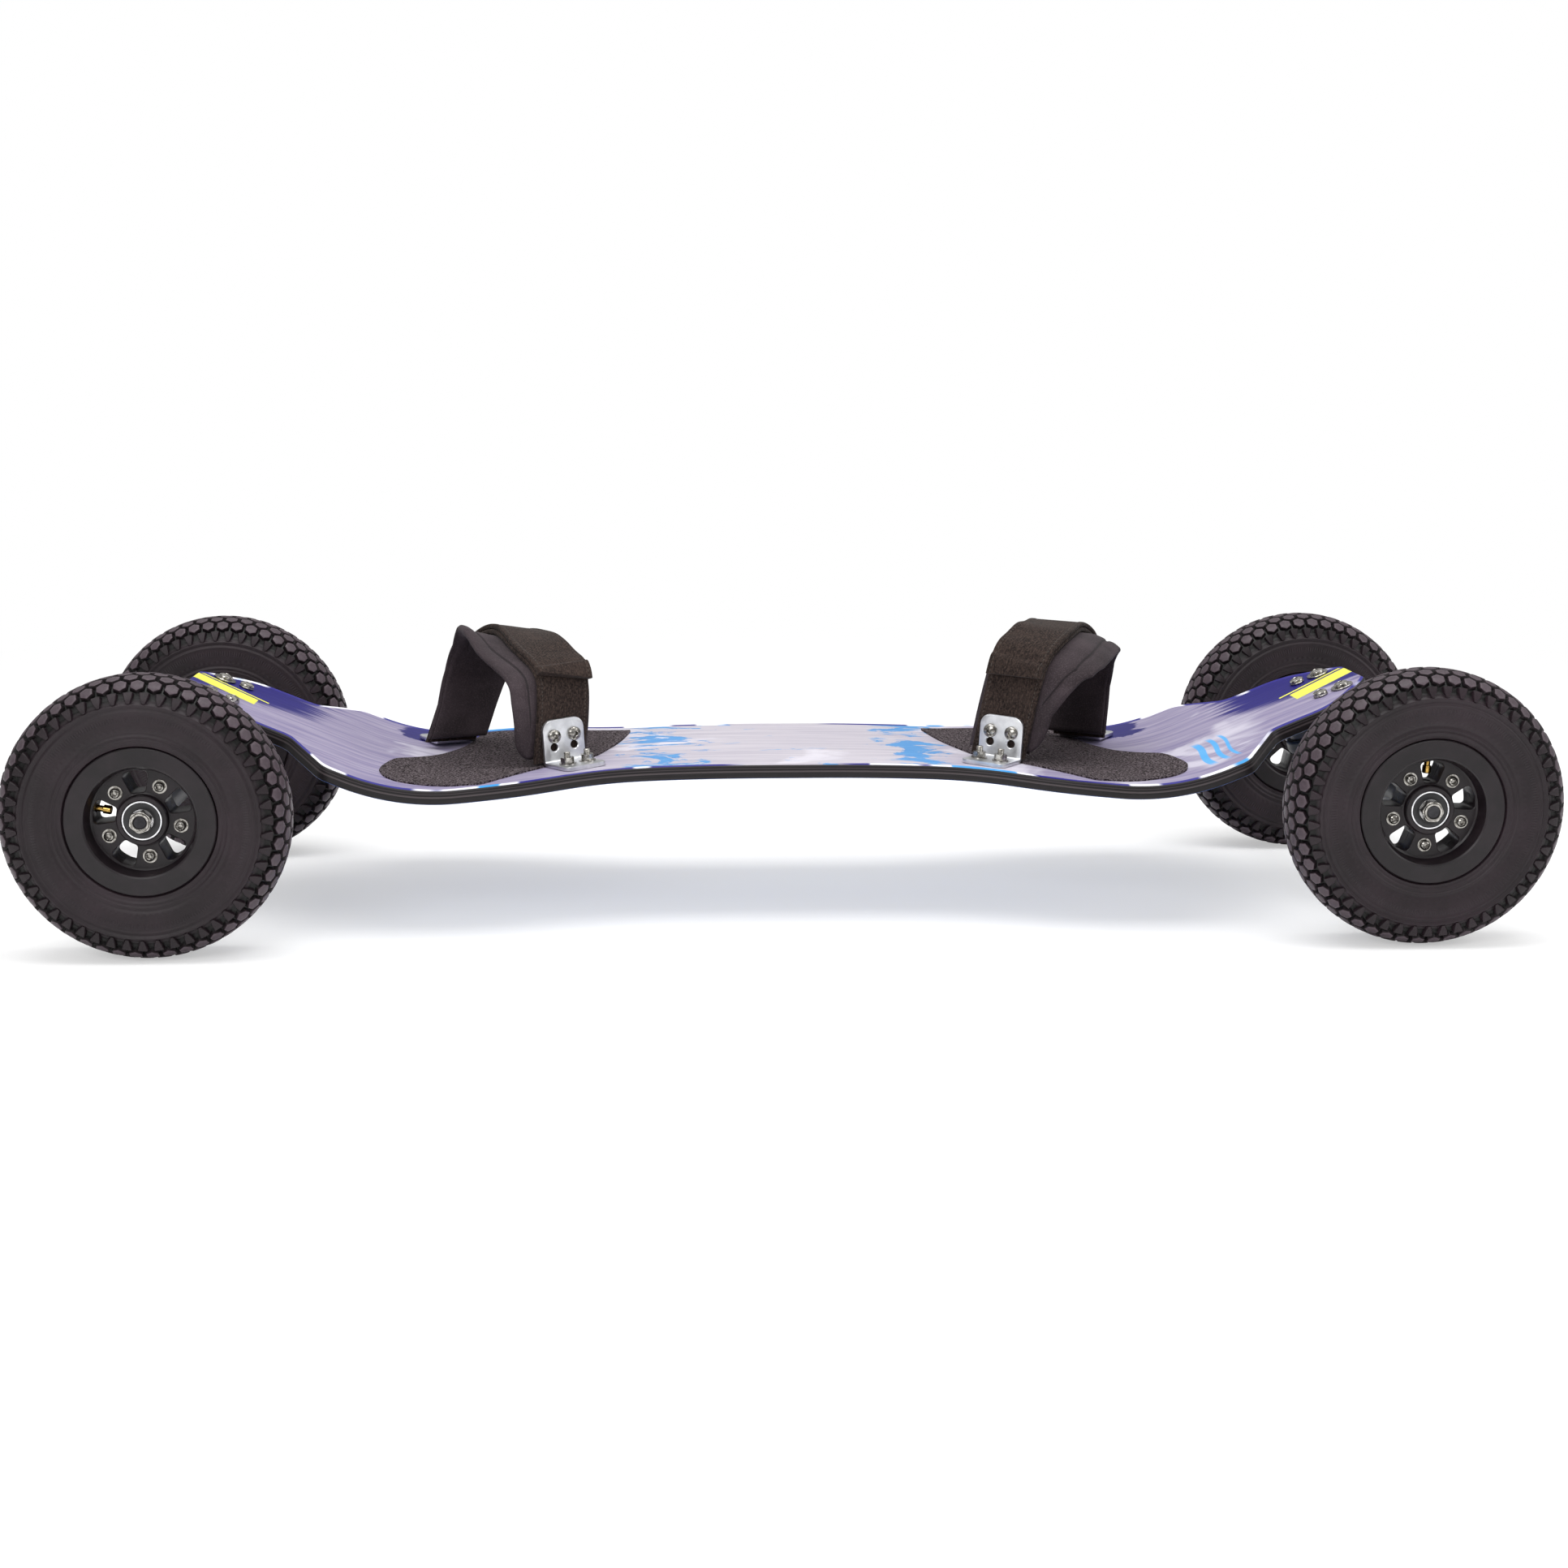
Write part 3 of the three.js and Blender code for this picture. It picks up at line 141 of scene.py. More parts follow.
class Shell:
    # the surfaces of one piece, each a grid of points with its flat pattern in metres

    def __init__(self):
        self.points, self.quads, self.flats, self.kinds, self.marks = [], [], [], [], []
        self.count = 0

    def grid(self, points, flat=None, closeRows=False, closeColumns=False, kind=0, mark=0.0):
        rows, columns = points.shape[:2]
        r, c = np.indices((rows - 1 + closeRows, columns - 1 + closeColumns))
        nextR, nextC = (r + 1) % rows, (c + 1) % columns
        here, beyond = r * columns, nextR * columns
        ring = np.stack([here + c, beyond + c, beyond + nextC, here + nextC], -1)
        if flat is None:
            flat = np.zeros((rows + closeRows, columns + closeColumns, 2))
        around = np.stack([flat[r, c], flat[r + 1, c], flat[r + 1, c + 1], flat[r, c + 1]], 2)
        self.points.append(points.reshape(-1, 3))
        self.quads.append(self.count + ring.reshape(-1, 4))
        self.flats.append(around.reshape(-1, 2))
        self.kinds.append(np.broadcast_to(kind, ring.shape[:2]).reshape(-1))
        self.marks.append(np.broadcast_to(mark, (rows, columns)).reshape(-1))
        self.count += rows * columns
        return self

    def cap(self, ring, kind=0):
        # closes a ring of points with a fan to its middle
        middle = np.broadcast_to(ring.mean(0), ring.shape)
        return self.grid(np.stack([ring, middle]), closeColumns=True, kind=kind)

    def tube(self, rings):
        # a skin over closed rings, shut at both ends
        return self.grid(np.stack(rings), closeColumns=True).cap(rings[0]).cap(rings[-1])

    def add(self, other, matrix=np.eye(4)):
        self.points += [carried(matrix, points) for points in other.points]
        self.quads += [quads + self.count for quads in other.quads]
        self.flats += other.flats
        self.kinds += other.kinds
        self.marks += other.marks
        self.count += other.count
        return self


def turnedShell(profile, sides, closed=True):
    # a profile of [radius, height] turned about Z
    profile = np.asarray(profile, dtype=float)
    angles = wholeTurn(sides)
    points = onCircle(profile[:, :1], angles, profile[:, 1:])
    return Shell().grid(points, closeRows=closed, closeColumns=True)


def solid(profile, sides=48):
    # a turned solid whose profile starts and ends on its axis
    return turnedShell([(max(r, 1e-3), z) for r, z in profile], sides, closed=False)


def rodShell(radius, low, high, sides=48):
    return solid([(0, low), (radius, low), (radius, high), (0, high)], sides)


def hexShape(angles):
    # distance to a hexagon's side against that to its corner
    return math.cos(math.pi / 6) / np.cos((angles + math.pi / 6) % (math.pi / 3) - math.pi / 6)


def plateShell(outline, low, high, edge):
    # an outline in X and Y, raised from low to high, with its edges taken off
    outline = np.asarray(outline, dtype=float)
    ahead = np.roll(outline, -1, 0) - np.roll(outline, 1, 0)
    inwards = np.stack([-ahead[:, 1], ahead[:, 0]], -1)
    inwards /= np.linalg.norm(inwards, axis=1)[:, None] + 1e-9
    area = np.sum(outline[:, 0] * np.roll(outline[:, 1], -1) - outline[:, 1] * np.roll(outline[:, 0], -1))
    inwards *= np.sign(area)
    levels = [(edge, low), (edge * 0.3, low + edge * 0.3), (0, low + edge)]
    levels += [(inset, high + low - height) for inset, height in reversed(levels)]
    return Shell().tube([spots(*(outline + inwards * inset).T, height) for inset, height in levels])


def newObject(name, data):
    made = bpy.data.objects.new(name, data)
    bpy.context.scene.collection.objects.link(made)
    return made


def smoothed(mesh, sharp):
    # smooth shading, with sharp edges where faces turn by more than an angle in degrees
    mesh.polygons.foreach_set("use_smooth", np.ones(len(mesh.polygons), dtype=bool))
    mesh.set_sharp_from_angle(angle=math.radians(sharp))
    return mesh


def meshOf(name, shell, sharp=32):
    # a shell in metres, with its flat pattern as UV map and its marks as an attribute
    points = np.concatenate(shell.points) / 1000
    mesh = bpy.data.meshes.new(name)
    mesh.from_pydata(points.tolist(), [], np.concatenate(shell.quads).tolist())
    mesh.uv_layers.new(name="flat").data.foreach_set("uv", np.concatenate(shell.flats).ravel())
    mesh.polygons.foreach_set("material_index", np.concatenate(shell.kinds).astype(np.int32))
    mesh.attributes.new("mark", "FLOAT", "POINT").data.foreach_set("value", np.concatenate(shell.marks))
    closeUp(mesh)
    return smoothed(mesh, sharp)


def addPiece(name, form, finishes, body, replaces, sharp=32, at=None):
    # one visible object from a shell, which a matrix may place, or from a finished mesh
    if at is not None:
        form = Shell().add(form, at)
    mesh = meshOf(name, form, sharp) if isinstance(form, Shell) else form
    for finish in finishes:
        mesh.materials.append(paint[finish])
    piece = newObject(name, mesh)
    if body:
        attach(piece, body)
    if replaces:
        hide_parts(*replaces)
    return piece


def worked(mesh, *modifiers):
    # the mesh after modifiers, each a type and its settings; a shell as a setting is cut out of it
    holder = newObject("worked", mesh)
    helpers = [holder]
    for kind, settings in modifiers:
        modifier = holder.modifiers.new("work", kind)
        for key, value in settings.items():
            if isinstance(value, Shell):
                value = newObject("cutter", meshOf("cutter", value))
                helpers.append(value)
            setattr(modifier, key, value)
    made = bpy.data.meshes.new_from_object(holder.evaluated_get(bpy.context.evaluated_depsgraph_get()))
    for helper in helpers:
        bpy.data.objects.remove(helper)
    return made


def cutOut(mesh, cutter):
    # the mesh less a shell, whose own bodies mustn't overlap each other
    return worked(mesh, ("BOOLEAN", {"object": cutter, "operation": "DIFFERENCE", "solver": "EXACT"}))


def placed(mesh, name, matrix, sharp):
    # a copy of a mesh, carried by a matrix in millimetres
    copy = mesh.copy()
    copy.name = name
    points = np.empty(len(copy.vertices) * 3)
    copy.vertices.foreach_get("co", points)
    copy.vertices.foreach_set("co", (carried(matrix, points.reshape(-1, 3) * 1000) / 1000).ravel())
    copy.update()
    return smoothed(copy, sharp)


def closeUp(mesh):
    # merges the rims of neighbouring surfaces and turns every face outwards
    work = bmesh.new()
    work.from_mesh(mesh)
    bmesh.ops.remove_doubles(work, verts=work.verts, dist=2e-6)
    bmesh.ops.dissolve_degenerate(work, edges=work.edges, dist=1e-7)
    bmesh.ops.recalc_face_normals(work, faces=work.faces)
    work.to_mesh(mesh)
    work.free()
    mesh.update()


# Materials

class Field:
    # a value or colour that varies over a surface; arithmetic on it adds the nodes

    def __init__(self, finish, socket):
        self.finish, self.socket = finish, socket

    def math(self, operation, *others):
        values = {0: self, **dict(enumerate(others, 1))}
        return self.finish.node("ShaderNodeMath", {"operation": operation}, values)

    def __add__(self, other):
        return self.math("ADD", other)

    __radd__ = __add__

    def __sub__(self, other):
        return self.math("SUBTRACT", other)

    def __rsub__(self, other):
        return self.finish.node("ShaderNodeMath", {"operation": "SUBTRACT"}, {0: other, 1: self})

    def __mul__(self, other):
        return self.math("MULTIPLY", other)

    def __pow__(self, other):
        return self.math("POWER", other)

    def __abs__(self):
        return self.math("ABSOLUTE")

    def sine(self):
        return self.math("SINE")

    def step(self, low, high):
        # 0 below low, 1 above high, smooth between
        values = {"Value": self, "From Min": low, "From Max": high, "To Min": 0.0, "To Max": 1.0}
        return self.finish.node("ShaderNodeMapRange", {"interpolation_type": "SMOOTHSTEP"}, values)

    def band(self, middle, half, soft):
        # 1 within half of the middle, fading over soft
        return 1.0 - abs(self - middle).step(half - soft / 2, half + soft / 2)


def tone(code):
    # a colour written as six hexadecimal digits, as linear light
    parts = [int(code[k:k + 2], 16) / 255 for k in (0, 2, 4)]
    return [p / 12.92 if p <= 0.04045 else ((p + 0.055) / 1.055) ** 2.4 for p in parts] + [1.0]


class Finish:
    # one material and its nodes

    def __init__(self, name, **constants):
        self.material = bpy.data.materials.new(name)
        self.material.use_nodes = True
        self.tree = self.material.node_tree
        self.shader = self.tree.nodes["Principled BSDF"]
        self.set(**constants)

    def put(self, node, socket, value):
        target = node.inputs[socket]
        if isinstance(value, Field):
            self.tree.links.new(value.socket, target)
        elif target.type == "RGBA" and isinstance(value, str):
            target.default_value = tone(value)
        else:
            target.default_value = value

    def node(self, kind, settings=None, values=None, output=0):
        made = self.tree.nodes.new(kind)
        for key, value in (settings or {}).items():
            setattr(made, key, value)
        for socket, value in (values or {}).items():
            self.put(made, socket, value)
        return Field(self, made.outputs[output])

    def places(self, scale=None, output="Object"):
        spot = self.node("ShaderNodeTexCoord", output=output)
        return self.node("ShaderNodeMapping", values={"Vector": spot, "Scale": scale}) if scale else spot

    def flat(self, scale=None):
        return self.places(scale, "UV")

    def mark(self):
        return self.node("ShaderNodeAttribute", {"attribute_name": "mark"}, output="Fac")

    def parts(self, vector):
        made = self.tree.nodes.new("ShaderNodeSeparateXYZ")
        self.put(made, 0, vector)
        return [Field(self, socket) for socket in made.outputs]

    def noise(self, scale, detail=3.0, rough=0.5, warp=0.0, over=None):
        values = {"Scale": scale, "Detail": detail, "Roughness": rough, "Distortion": warp}
        return self.node("ShaderNodeTexNoise", values={"Vector": over or self.places(), **values})

    def grain(self, scale, detail=3.0, rough=0.5, warp=0.0):
        # noise on the flat pattern, with its own scale along and across it
        return self.noise(1.0, detail, rough, warp, self.flat(scale))

    def cells(self, scale):
        return self.node("ShaderNodeTexVoronoi", values={"Vector": self.places(), "Scale": scale})

    def mix(self, share, first, second):
        made = self.tree.nodes.new("ShaderNodeMix")
        made.data_type = "RGBA"
        for socket, value in ((0, share), (6, first), (7, second)):
            self.put(made, socket, value)
        return Field(self, made.outputs[2])

    def bumped(self, height, strength, distance):
        # adds the fine relief, in metres, and gives the finished material
        values = {"Height": height, "Strength": strength, "Distance": distance}
        self.put(self.shader, "Normal", self.node("ShaderNodeBump", values=values))
        return self.material

    def set(self, **values):
        for socket, value in values.items():
            self.put(self.shader, socket.replace("_", " "), value)


def deckPrint():
    # streaked lavender print, with white touches of painted highlight along its edges: u runs along the deck and
    # v across it, in metres
    f = Finish("deckPrint", Specular_IOR_Level=0.12, Coat_Weight=0.1, Coat_Roughness=0.3)
    u, v = f.parts(f.flat())[:2]
    along = abs(u)
    streak = f.grain((9, 150, 1), 5.0, 0.65)
    fine = f.grain((30, 900, 1), 3.0, 0.6)
    blotch = f.grain((9, 11, 1), 4.0, 0.6, 0.6)
    ragged = f.grain((16, 34, 1), 6.0, 0.7, 1.2)
    colour = f.mix(streak.step(0.3, 0.72), "9C95AA", "776F92")
    pale = (1.0 - along.step(0.06, 0.27)) * 0.85 + (blotch - 0.5) * 0.5
    colour = f.mix(pale.step(0.1, 0.9), colour, f.mix(streak.step(0.35, 0.7), "BFBAC1", "A9A4B0"))
    white = (blotch + along.band(0.15, 0.02, 0.12) * 0.16).step(0.56, 0.66)
    colour = f.mix(white * 0.55, colour, "DAD7E0")
    sky = (ragged + along.band(0.1, 0.02, 0.09) * 0.17 - along.step(0.1, 0.2) * 0.3).step(0.6, 0.64)
    colour = f.mix(sky * 0.9, colour, f.mix(fine.step(0.3, 0.7), "1F78BE", "4696CC"))
    # rippled bands before the nose
    ripple = u + (v * 52.0).sine() * 0.005 + v * 0.1
    bands = ripple.band(0.312, 0.0028, 0.001) + ripple.band(0.323, 0.002, 0.001)
    bands = (bands + ripple.band(0.332, 0.0014, 0.001)) * v.band(-0.062, 0.036, 0.012)
    colour = f.mix(bands * 0.9, colour, "43A2E0")
    # navy cloud under the far brackets
    cloud = along.band(0.25, 0.05, 0.05) * v.step(0.055, 0.085) + (ragged - 0.5) * 1.4
    colour = f.mix(cloud.step(0.45, 0.6), colour, f.mix(fine.step(0.2, 0.8), "1A1558", "27226F"))
    # navy smears on the far side of the tips
    smear = v + (along - 0.41) * 0.35 + (streak - 0.5) * 0.05
    smear = smear.step(-0.012, 0.008) * (along + (streak - 0.5) * 0.09).step(0.352, 0.376)
    colour = f.mix(smear, colour, f.mix(fine.step(0.2, 0.8), "17125C", "251F74"))
    # yellow bar between the truck bolts, and a thin stripe beside it
    slant = v - (along - 0.43) * 0.3
    yellow = slant.band(0.003, 0.0105, 0.0006) * along.step(0.408, 0.409)
    yellow = yellow + slant.band(0.0185, 0.0016, 0.0006)
    colour = f.mix(yellow * along.step(0.4, 0.401), colour, "DCDA55")
    # touches along the edges: navy and blue ones are print, the white ones a painted highlight
    chance = f.grain((11, 0.6, 1), 2.0)
    edge = 1.0 - (f.mark() - chance * 0.011).step(0.002, 0.003)
    # painted highlight: white touches along the top's edges
    touch = f.mix(chance.step(0.5, 0.52), "2E2A80", "E9E8F0")
    touch = f.mix(chance.step(0.6, 0.62), touch, "3E97DA")
    colour = f.mix(edge * along.step(0.03, 0.05), colour, touch)
    f.set(Base_Color=colour, Roughness=0.42 + streak * 0.12)
    return f.bumped(fine + streak, 0.08, 0.0002)


def deckEdge():
    # black laminate edge with fine layers, a painted highlight as a grey line along the middle of its depth and
    # a fainter grey ply line nearer the top; v is the depth
    f = Finish("deckEdge", Specular_IOR_Level=0.25)
    v = f.parts(f.flat())[1]
    layer = f.grain((6, 2600, 1), 2.0)
    wear = f.noise(60.0, 4.0)
    colour = f.mix(layer.step(0.3, 0.7), "0F0C0E", "1D191B")
    # painted highlight: a pale grey line along the middle of the edge's depth
    colour = f.mix(v.band(0.0046, 0.0006, 0.0005) * 0.8, colour, "4A4345")
    colour = f.mix(v.band(0.0023, 0.0003, 0.0004) * 0.6, colour, "463F42")
    colour = f.mix(v.step(0.0093, 0.0096), colour, "1D3F78")
    f.set(Base_Color=colour, Roughness=0.3 + wear * 0.25)
    return f.bumped(layer, 0.25, 0.0002)


def deckUnder():
    # blue underside with a long grain
    f = Finish("deckUnder", Roughness=0.35, Coat_Weight=0.4, Coat_Roughness=0.2)
    grain = f.grain((7, 160, 1), 5.0, 0.6)
    patch = f.grain((6, 12, 1), 4.0, 0.6, 0.5)
    colour = f.mix(grain.step(0.3, 0.7), "1E4684", "2B6AA8")
    colour = f.mix(patch.step(0.52, 0.6) * 0.8, colour, "2B2A74")
    f.set(Base_Color=colour)
    return f.bumped(grain, 0.08, 0.0002)


def gripSheet():
    # dark grit: cells of about 0.7 mm, with paler specks and a little dust
    f = Finish("gripSheet", Roughness=0.92, Specular_IOR_Level=0.12)
    grit = f.cells(1500.0)
    speck = f.noise(620.0, 3.0, 0.75)
    dust = f.noise(38.0, 4.0, 0.6)
    colour = f.mix(speck.step(0.4, 0.66), "1C1618", "857A7E")
    colour = f.mix(dust.step(0.4, 0.8) * 0.3, colour, "4E4448")
    f.set(Base_Color=colour)
    return f.bumped(grit + speck * 2.0, 1.0, 0.001)


def webbing(name, dark, light, scale):
    # woven strap with a fuzzy face: u runs along it and v across, in metres
    f = Finish(name, Roughness=0.88, Specular_IOR_Level=0.15, Sheen_Weight=0.06, Sheen_Roughness=0.4)
    u, v = f.parts(f.flat())[:2]
    weave = (u * scale).sine() * (v * scale * 0.8).sine()
    fuzz = f.noise(700.0, 4.0, 0.7)
    rows = f.grain((260, 900, 1), 3.0, 0.6)
    worn = f.noise(45.0, 4.0, 0.6)
    colour = f.mix((fuzz * 0.6 + rows * 0.5).step(0.4, 0.75), dark, light)
    colour = f.mix(worn.step(0.45, 0.75) * 0.4, colour, light)
    # stitches beside both edges, every 3 mm
    stitch = f.mark().band(0.0034, 0.0005, 0.0003) * (u * 2094.0).sine().step(-0.2, 0.1)
    colour = f.mix(stitch * 0.5, colour, "4A443F")
    f.set(Base_Color=colour)
    return f.bumped(weave * 0.25 + rows + fuzz * 0.8 + stitch * 0.8, 0.55, 0.0005)


def padCloth():
    # smooth knit over foam, a little paler where it is rubbed
    f = Finish("padCloth", Roughness=0.8, Specular_IOR_Level=0.2, Sheen_Weight=0.05, Sheen_Roughness=0.4)
    knit = f.noise(1100.0, 2.0, 0.5)
    soft = f.noise(26.0, 4.0, 0.6)
    colour = f.mix(soft.step(0.3, 0.75), "272023", "3A3135")
    colour = f.mix(knit.step(0.45, 0.75) * 0.5, colour, "4C4246")
    colour = f.mix(f.mark().band(0.0105, 0.0006, 0.0004) * 0.6, colour, "0E0C0D")
    f.set(Base_Color=colour)
    return f.bumped(knit * 0.5 + soft * 1.5, 0.35, 0.0007)


def brushedSheet():
    # tumbled aluminium sheet: soft cloudy gloss with faint scratches
    f = Finish("brushedSheet", Metallic=1.0)
    cloud = f.noise(90.0, 4.0, 0.6)
    scratch = f.noise(260.0, 4.0, 0.7, over=f.places((1, 1, 22)))
    colour = f.mix(cloud.step(0.3, 0.75), "C9CACD", "E6E7E9")
    f.set(Base_Color=colour, Roughness=0.26 + cloud * 0.16 + scratch * 0.08)
    return f.bumped(scratch + cloud * 0.5, 0.12, 0.0002)


def zinc(name="zinc", bright="B4B1AC", dull="6F6C67"):
    # plated or bare metal, with small duller clouds
    f = Finish(name, Metallic=1.0)
    cloud = f.noise(420.0, 3.0, 0.6)
    f.set(Base_Color=f.mix(cloud.step(0.35, 0.7), bright, dull), Roughness=0.14 + cloud * 0.2)
    return f.bumped(cloud, 0.1, 0.0001)


def castBlack():
    # black painted casting, with an orange-peel skin
    f = Finish("castBlack", Coat_Weight=0.25, Coat_Roughness=0.3)
    peel = f.noise(620.0, 3.0, 0.5)
    dust = f.noise(35.0, 4.0, 0.6)
    colour = f.mix(dust.step(0.4, 0.8), "0E0D0F", "19181A")
    f.set(Base_Color=colour, Roughness=0.38 + dust * 0.2)
    return f.bumped(peel, 0.25, 0.0003)


def plain(name, dark, light, rough, scale=300.0, depth=0.2, metal=0.0):
    # one tone in two sizes of cloud, for parts that are hardly seen
    f = Finish(name, Metallic=metal)
    cloud = f.noise(scale, 4.0, 0.6)
    wide = f.noise(scale / 9, 3.0, 0.6)
    colour = f.mix((cloud * 0.5 + wide * 0.5).step(0.35, 0.7), dark, light)
    f.set(Base_Color=colour, Roughness=rough + (cloud - 0.5) * 0.15)
    return f.bumped(cloud, depth, 0.0003)


def tyreRubber():
    # charcoal rubber, with a paler bloom in patches, a painted highlight on the knob tops and painted shade in
    # the grooves
    f = Finish("tyreRubber", Specular_IOR_Level=0.3)
    skin = f.noise(380.0, 3.0, 0.6)
    bloom = f.noise(16.0, 4.0, 0.6)
    top = f.mark()
    u, v = f.parts(f.flat())[:2]
    colour = f.mix(bloom.step(0.3, 0.75), "170F13", "261B21")
    # painted highlight: the knob tops, where the mark is high, are mixed towards pale grey
    colour = f.mix(top.step(0.6, 1.0) * (0.35 + skin * 0.75), colour, "62555D")
    # painted shade: the grooves and the lower sides of the knobs, where the mark is below 0.5, are darkened
    # towards black
    colour = f.mix(top.step(0.0, 0.5), "060505", colour)
    # fine radial ribs and a dull ring on the sidewall
    ribs = (u * 240.0).sine() * v.band(0.0462, 0.0016, 0.0012)
    ribs = ribs + (u * 96.0).sine() * v.band(0.0535, 0.001, 0.001) * 0.6
    f.set(Base_Color=colour, Roughness=0.4 + skin * 0.16 + v.band(0.05, 0.004, 0.006) * 0.1)
    return f.bumped(skin * 0.7 + ribs * 0.8 + bloom * 2.0, 0.4, 0.0006)


def hubPlastic():
    # moulded black nylon with a satin skin
    f = Finish("hubPlastic", Specular_IOR_Level=0.32)
    skin = f.noise(800.0, 2.0, 0.5)
    cloud = f.noise(40.0, 4.0, 0.6)
    colour = f.mix(cloud.step(0.35, 0.7), "140F12", "1E171B")
    f.set(Base_Color=colour, Roughness=0.3 + skin * 0.14)
    return f.bumped(skin, 0.16, 0.0002)


paint = {
    "print": deckPrint(),
    "edge": deckEdge(),
    "under": deckUnder(),
    "grip": gripSheet(),
    "strap": webbing("strapFace", "120C0B", "40342F", 2600.0),
    "pad": padCloth(),
    "sheet": brushedSheet(),
    "zinc": zinc(),
    "cast": castBlack(),
    "steel": zinc("boltSteel", "A29F9A", "5F5C57"),
    "axle": plain("axleSteel", "232225", "3A393C", 0.35, 300.0, 0.1, 0.7),
    "bushing": plain("bushing", "2A2A2F", "3A3A41", 0.45, 200.0),
    "cup": plain("cup", "101012", "1A1A1D", 0.5, 260.0),
    "tyre": tyreRubber(),
    "tube": plain("tube", "141416", "202023", 0.6, 300.0),
    "brass": zinc("brass", "C9A45A", "8E6F35"),
    "hub": hubPlastic(),
    "ring": zinc("bearingSteel", "E2E2E4", "BDBDC1"),
    "seal": plain("seal", "121214", "1E1E21", 0.5, 500.0),
}
print("materials made")

# Deck

deckSizes = {
    "axle": 451.0, "axleHeight": 100.0, "axleDrop": 59.5, "thickness": 10.0, "edge": 1.6, "kick": 22.4,
    "kickStart": 322.0, "dip": -5.4, "flatEnd": 20.0, "dipAt": 240.0,
    "end": 460.0, "side": 94.5, "wide": 129.0,
}


def cubicLine(corners, count):
    # a Bezier curve by its four corners
    a, b, c, d = np.array(corners, dtype=float)
    t = np.linspace(0, 1, count)[:, None]
    return (1 - t) ** 3 * a + 3 * t * (1 - t) ** 2 * b + 3 * t * t * (1 - t) * c + t ** 3 * d


side, wide = deckSizes["side"], deckSizes["wide"]
flare = cubicLine([(100, side), (168.5, side), (168.5, wide), (237, wide)], 30)
tipCorners = [(237, wide, 0), (337, wide, 7), (371, 75, 8), (419, 75, 16), (455, 38, 5), (460, 28, 0)]
deckSide = np.concatenate([[(0, side)], flare, roundedCorners(tipCorners, closed=False)[1:]])
walkStep = 0.25
walk = np.arange(1921) * walkStep
slopeAt = (deckSizes["flatEnd"], deckSizes["dipAt"], deckSizes["kickStart"])
walkSlope = np.radians(np.interp(walk, slopeAt, (0.0, deckSizes["dip"], deckSizes["kick"])))


def walked(shares):
    # the sum of a slope's shares along the deck, by the trapezoid rule
    return np.concatenate([[0], np.cumsum(shares[1:] + shares[:-1])]) * walkStep / 2


walkX, walkZ = walked(np.cos(walkSlope)), walked(np.sin(walkSlope))
kickPlace = [np.interp(deckSizes["kickStart"], walk, line) for line in (walkX, walkZ)]
kickTurn = math.radians(deckSizes["kick"])
deckLift = (deckSizes["axleHeight"] - kickPlace[1]) * math.cos(kickTurn)
deckLift -= (deckSizes["axle"] - kickPlace[0]) * math.sin(kickTurn)
deckLift = (deckLift + deckSizes["axleDrop"] + deckSizes["thickness"]) / math.cos(kickTurn)


def deckAt(station, across, depth=0.0):
    # a place on the deck by its length along the top, and its depth below it
    far, side = np.abs(station), np.sign(station)
    slope = np.interp(far, walk, walkSlope)
    x = side * (np.interp(far, walk, walkX) + depth * np.sin(slope))
    return spots(x, across, deckLift + np.interp(far, walk, walkZ) - depth * np.cos(slope))


def seatOnDeck(place, low, high):
    # a level seat on the deck between two offsets along X
    def top(share):
        x = place[0] + low + (high - low) * share
        return deckAt(math.copysign(np.interp(abs(x), walkX, walk), x), place[1])
    chord = top(1) - top(0)
    chord /= np.linalg.norm(chord)
    normal = np.array([-chord[2], 0, chord[0]])
    rise = max(float((top(share) - top(0)) @ normal) for share in (0, 0.25, 0.5, 0.75, 1))
    origin = top(0) + chord * -low + normal * rise
    return moveBy(*origin) @ turnAbout("y", -math.degrees(math.atan2(chord[2], chord[0])))


def deckPiece():
    end, edge, thick = deckSizes["end"], deckSizes["edge"], deckSizes["thickness"]
    turn = np.radians([0, 22.5, 45, 67.5, 90])
    tip = end - edge + edge * np.sin(turn)
    stations = np.concatenate([-tip[:0:-1], np.linspace(edge - end, end - edge, 461), tip[1:]])
    rounding = edge * (1 - np.cos(turn))
    shrink = np.concatenate([rounding[:0:-1], np.zeros(461), rounding[1:]])
    half = np.interp(np.abs(stations), *deckSide.T)[:, None] - shrink[:, None]
    rows, shrink = stations[:, None], shrink[:, None]
    corner = np.maximum(edge - shrink, 0.02)
    shell = Shell()
    width = np.linspace(-1, 1, 41)
    across = (half - corner) * width
    for depth, kind in ((shrink, 0), (thick - shrink, 2)):
        flat = spots(rows, across)
        mark = (half - np.abs(across)) / 1000
        shell.grid(deckAt(rows, across, depth), flat=flat / 1000, kind=kind, mark=mark)
    ends = [deckAt(rows, (half - corner) * width, depth)[[0, -1]] for depth in (shrink, thick - shrink)]
    for k in (0, 1):
        shell.grid(np.stack([ends[0][k], ends[1][k]]), flat=np.zeros((2, 41, 2)) + 0.004, kind=1)
    for side in (-1, 1):
        out = np.concatenate([np.sin(turn), np.sin(turn[::-1])])
        down = np.concatenate([1 - np.cos(turn), np.cos(turn[::-1]) - 1])
        base = np.where(np.arange(10) < 5, shrink, thick - shrink)
        across, depth = side * (half - corner + corner * out), base + corner * down
        points = deckAt(rows, across, depth)
        shell.grid(points, flat=spots(rows, depth) / 1000, kind=1).cap(points[0], 1).cap(points[-1], 1)
    return shell


bracketSizes = {
    "half": 17.5, "reach": 34.0, "thick": 3.0, "bend": 4.0, "topRound": 8.0, "footRound": 5.0, "edge": 0.5,
    "turn": 33.0, "span": (258 - 73 - 62.5) / math.cos(math.radians(33)), "across": -56.0, "lift": 0.3,
    "holeAcross": 8.6, "holeHeight": 13.5, "boltHeight": 21.8, "footHole": -20.0,
}


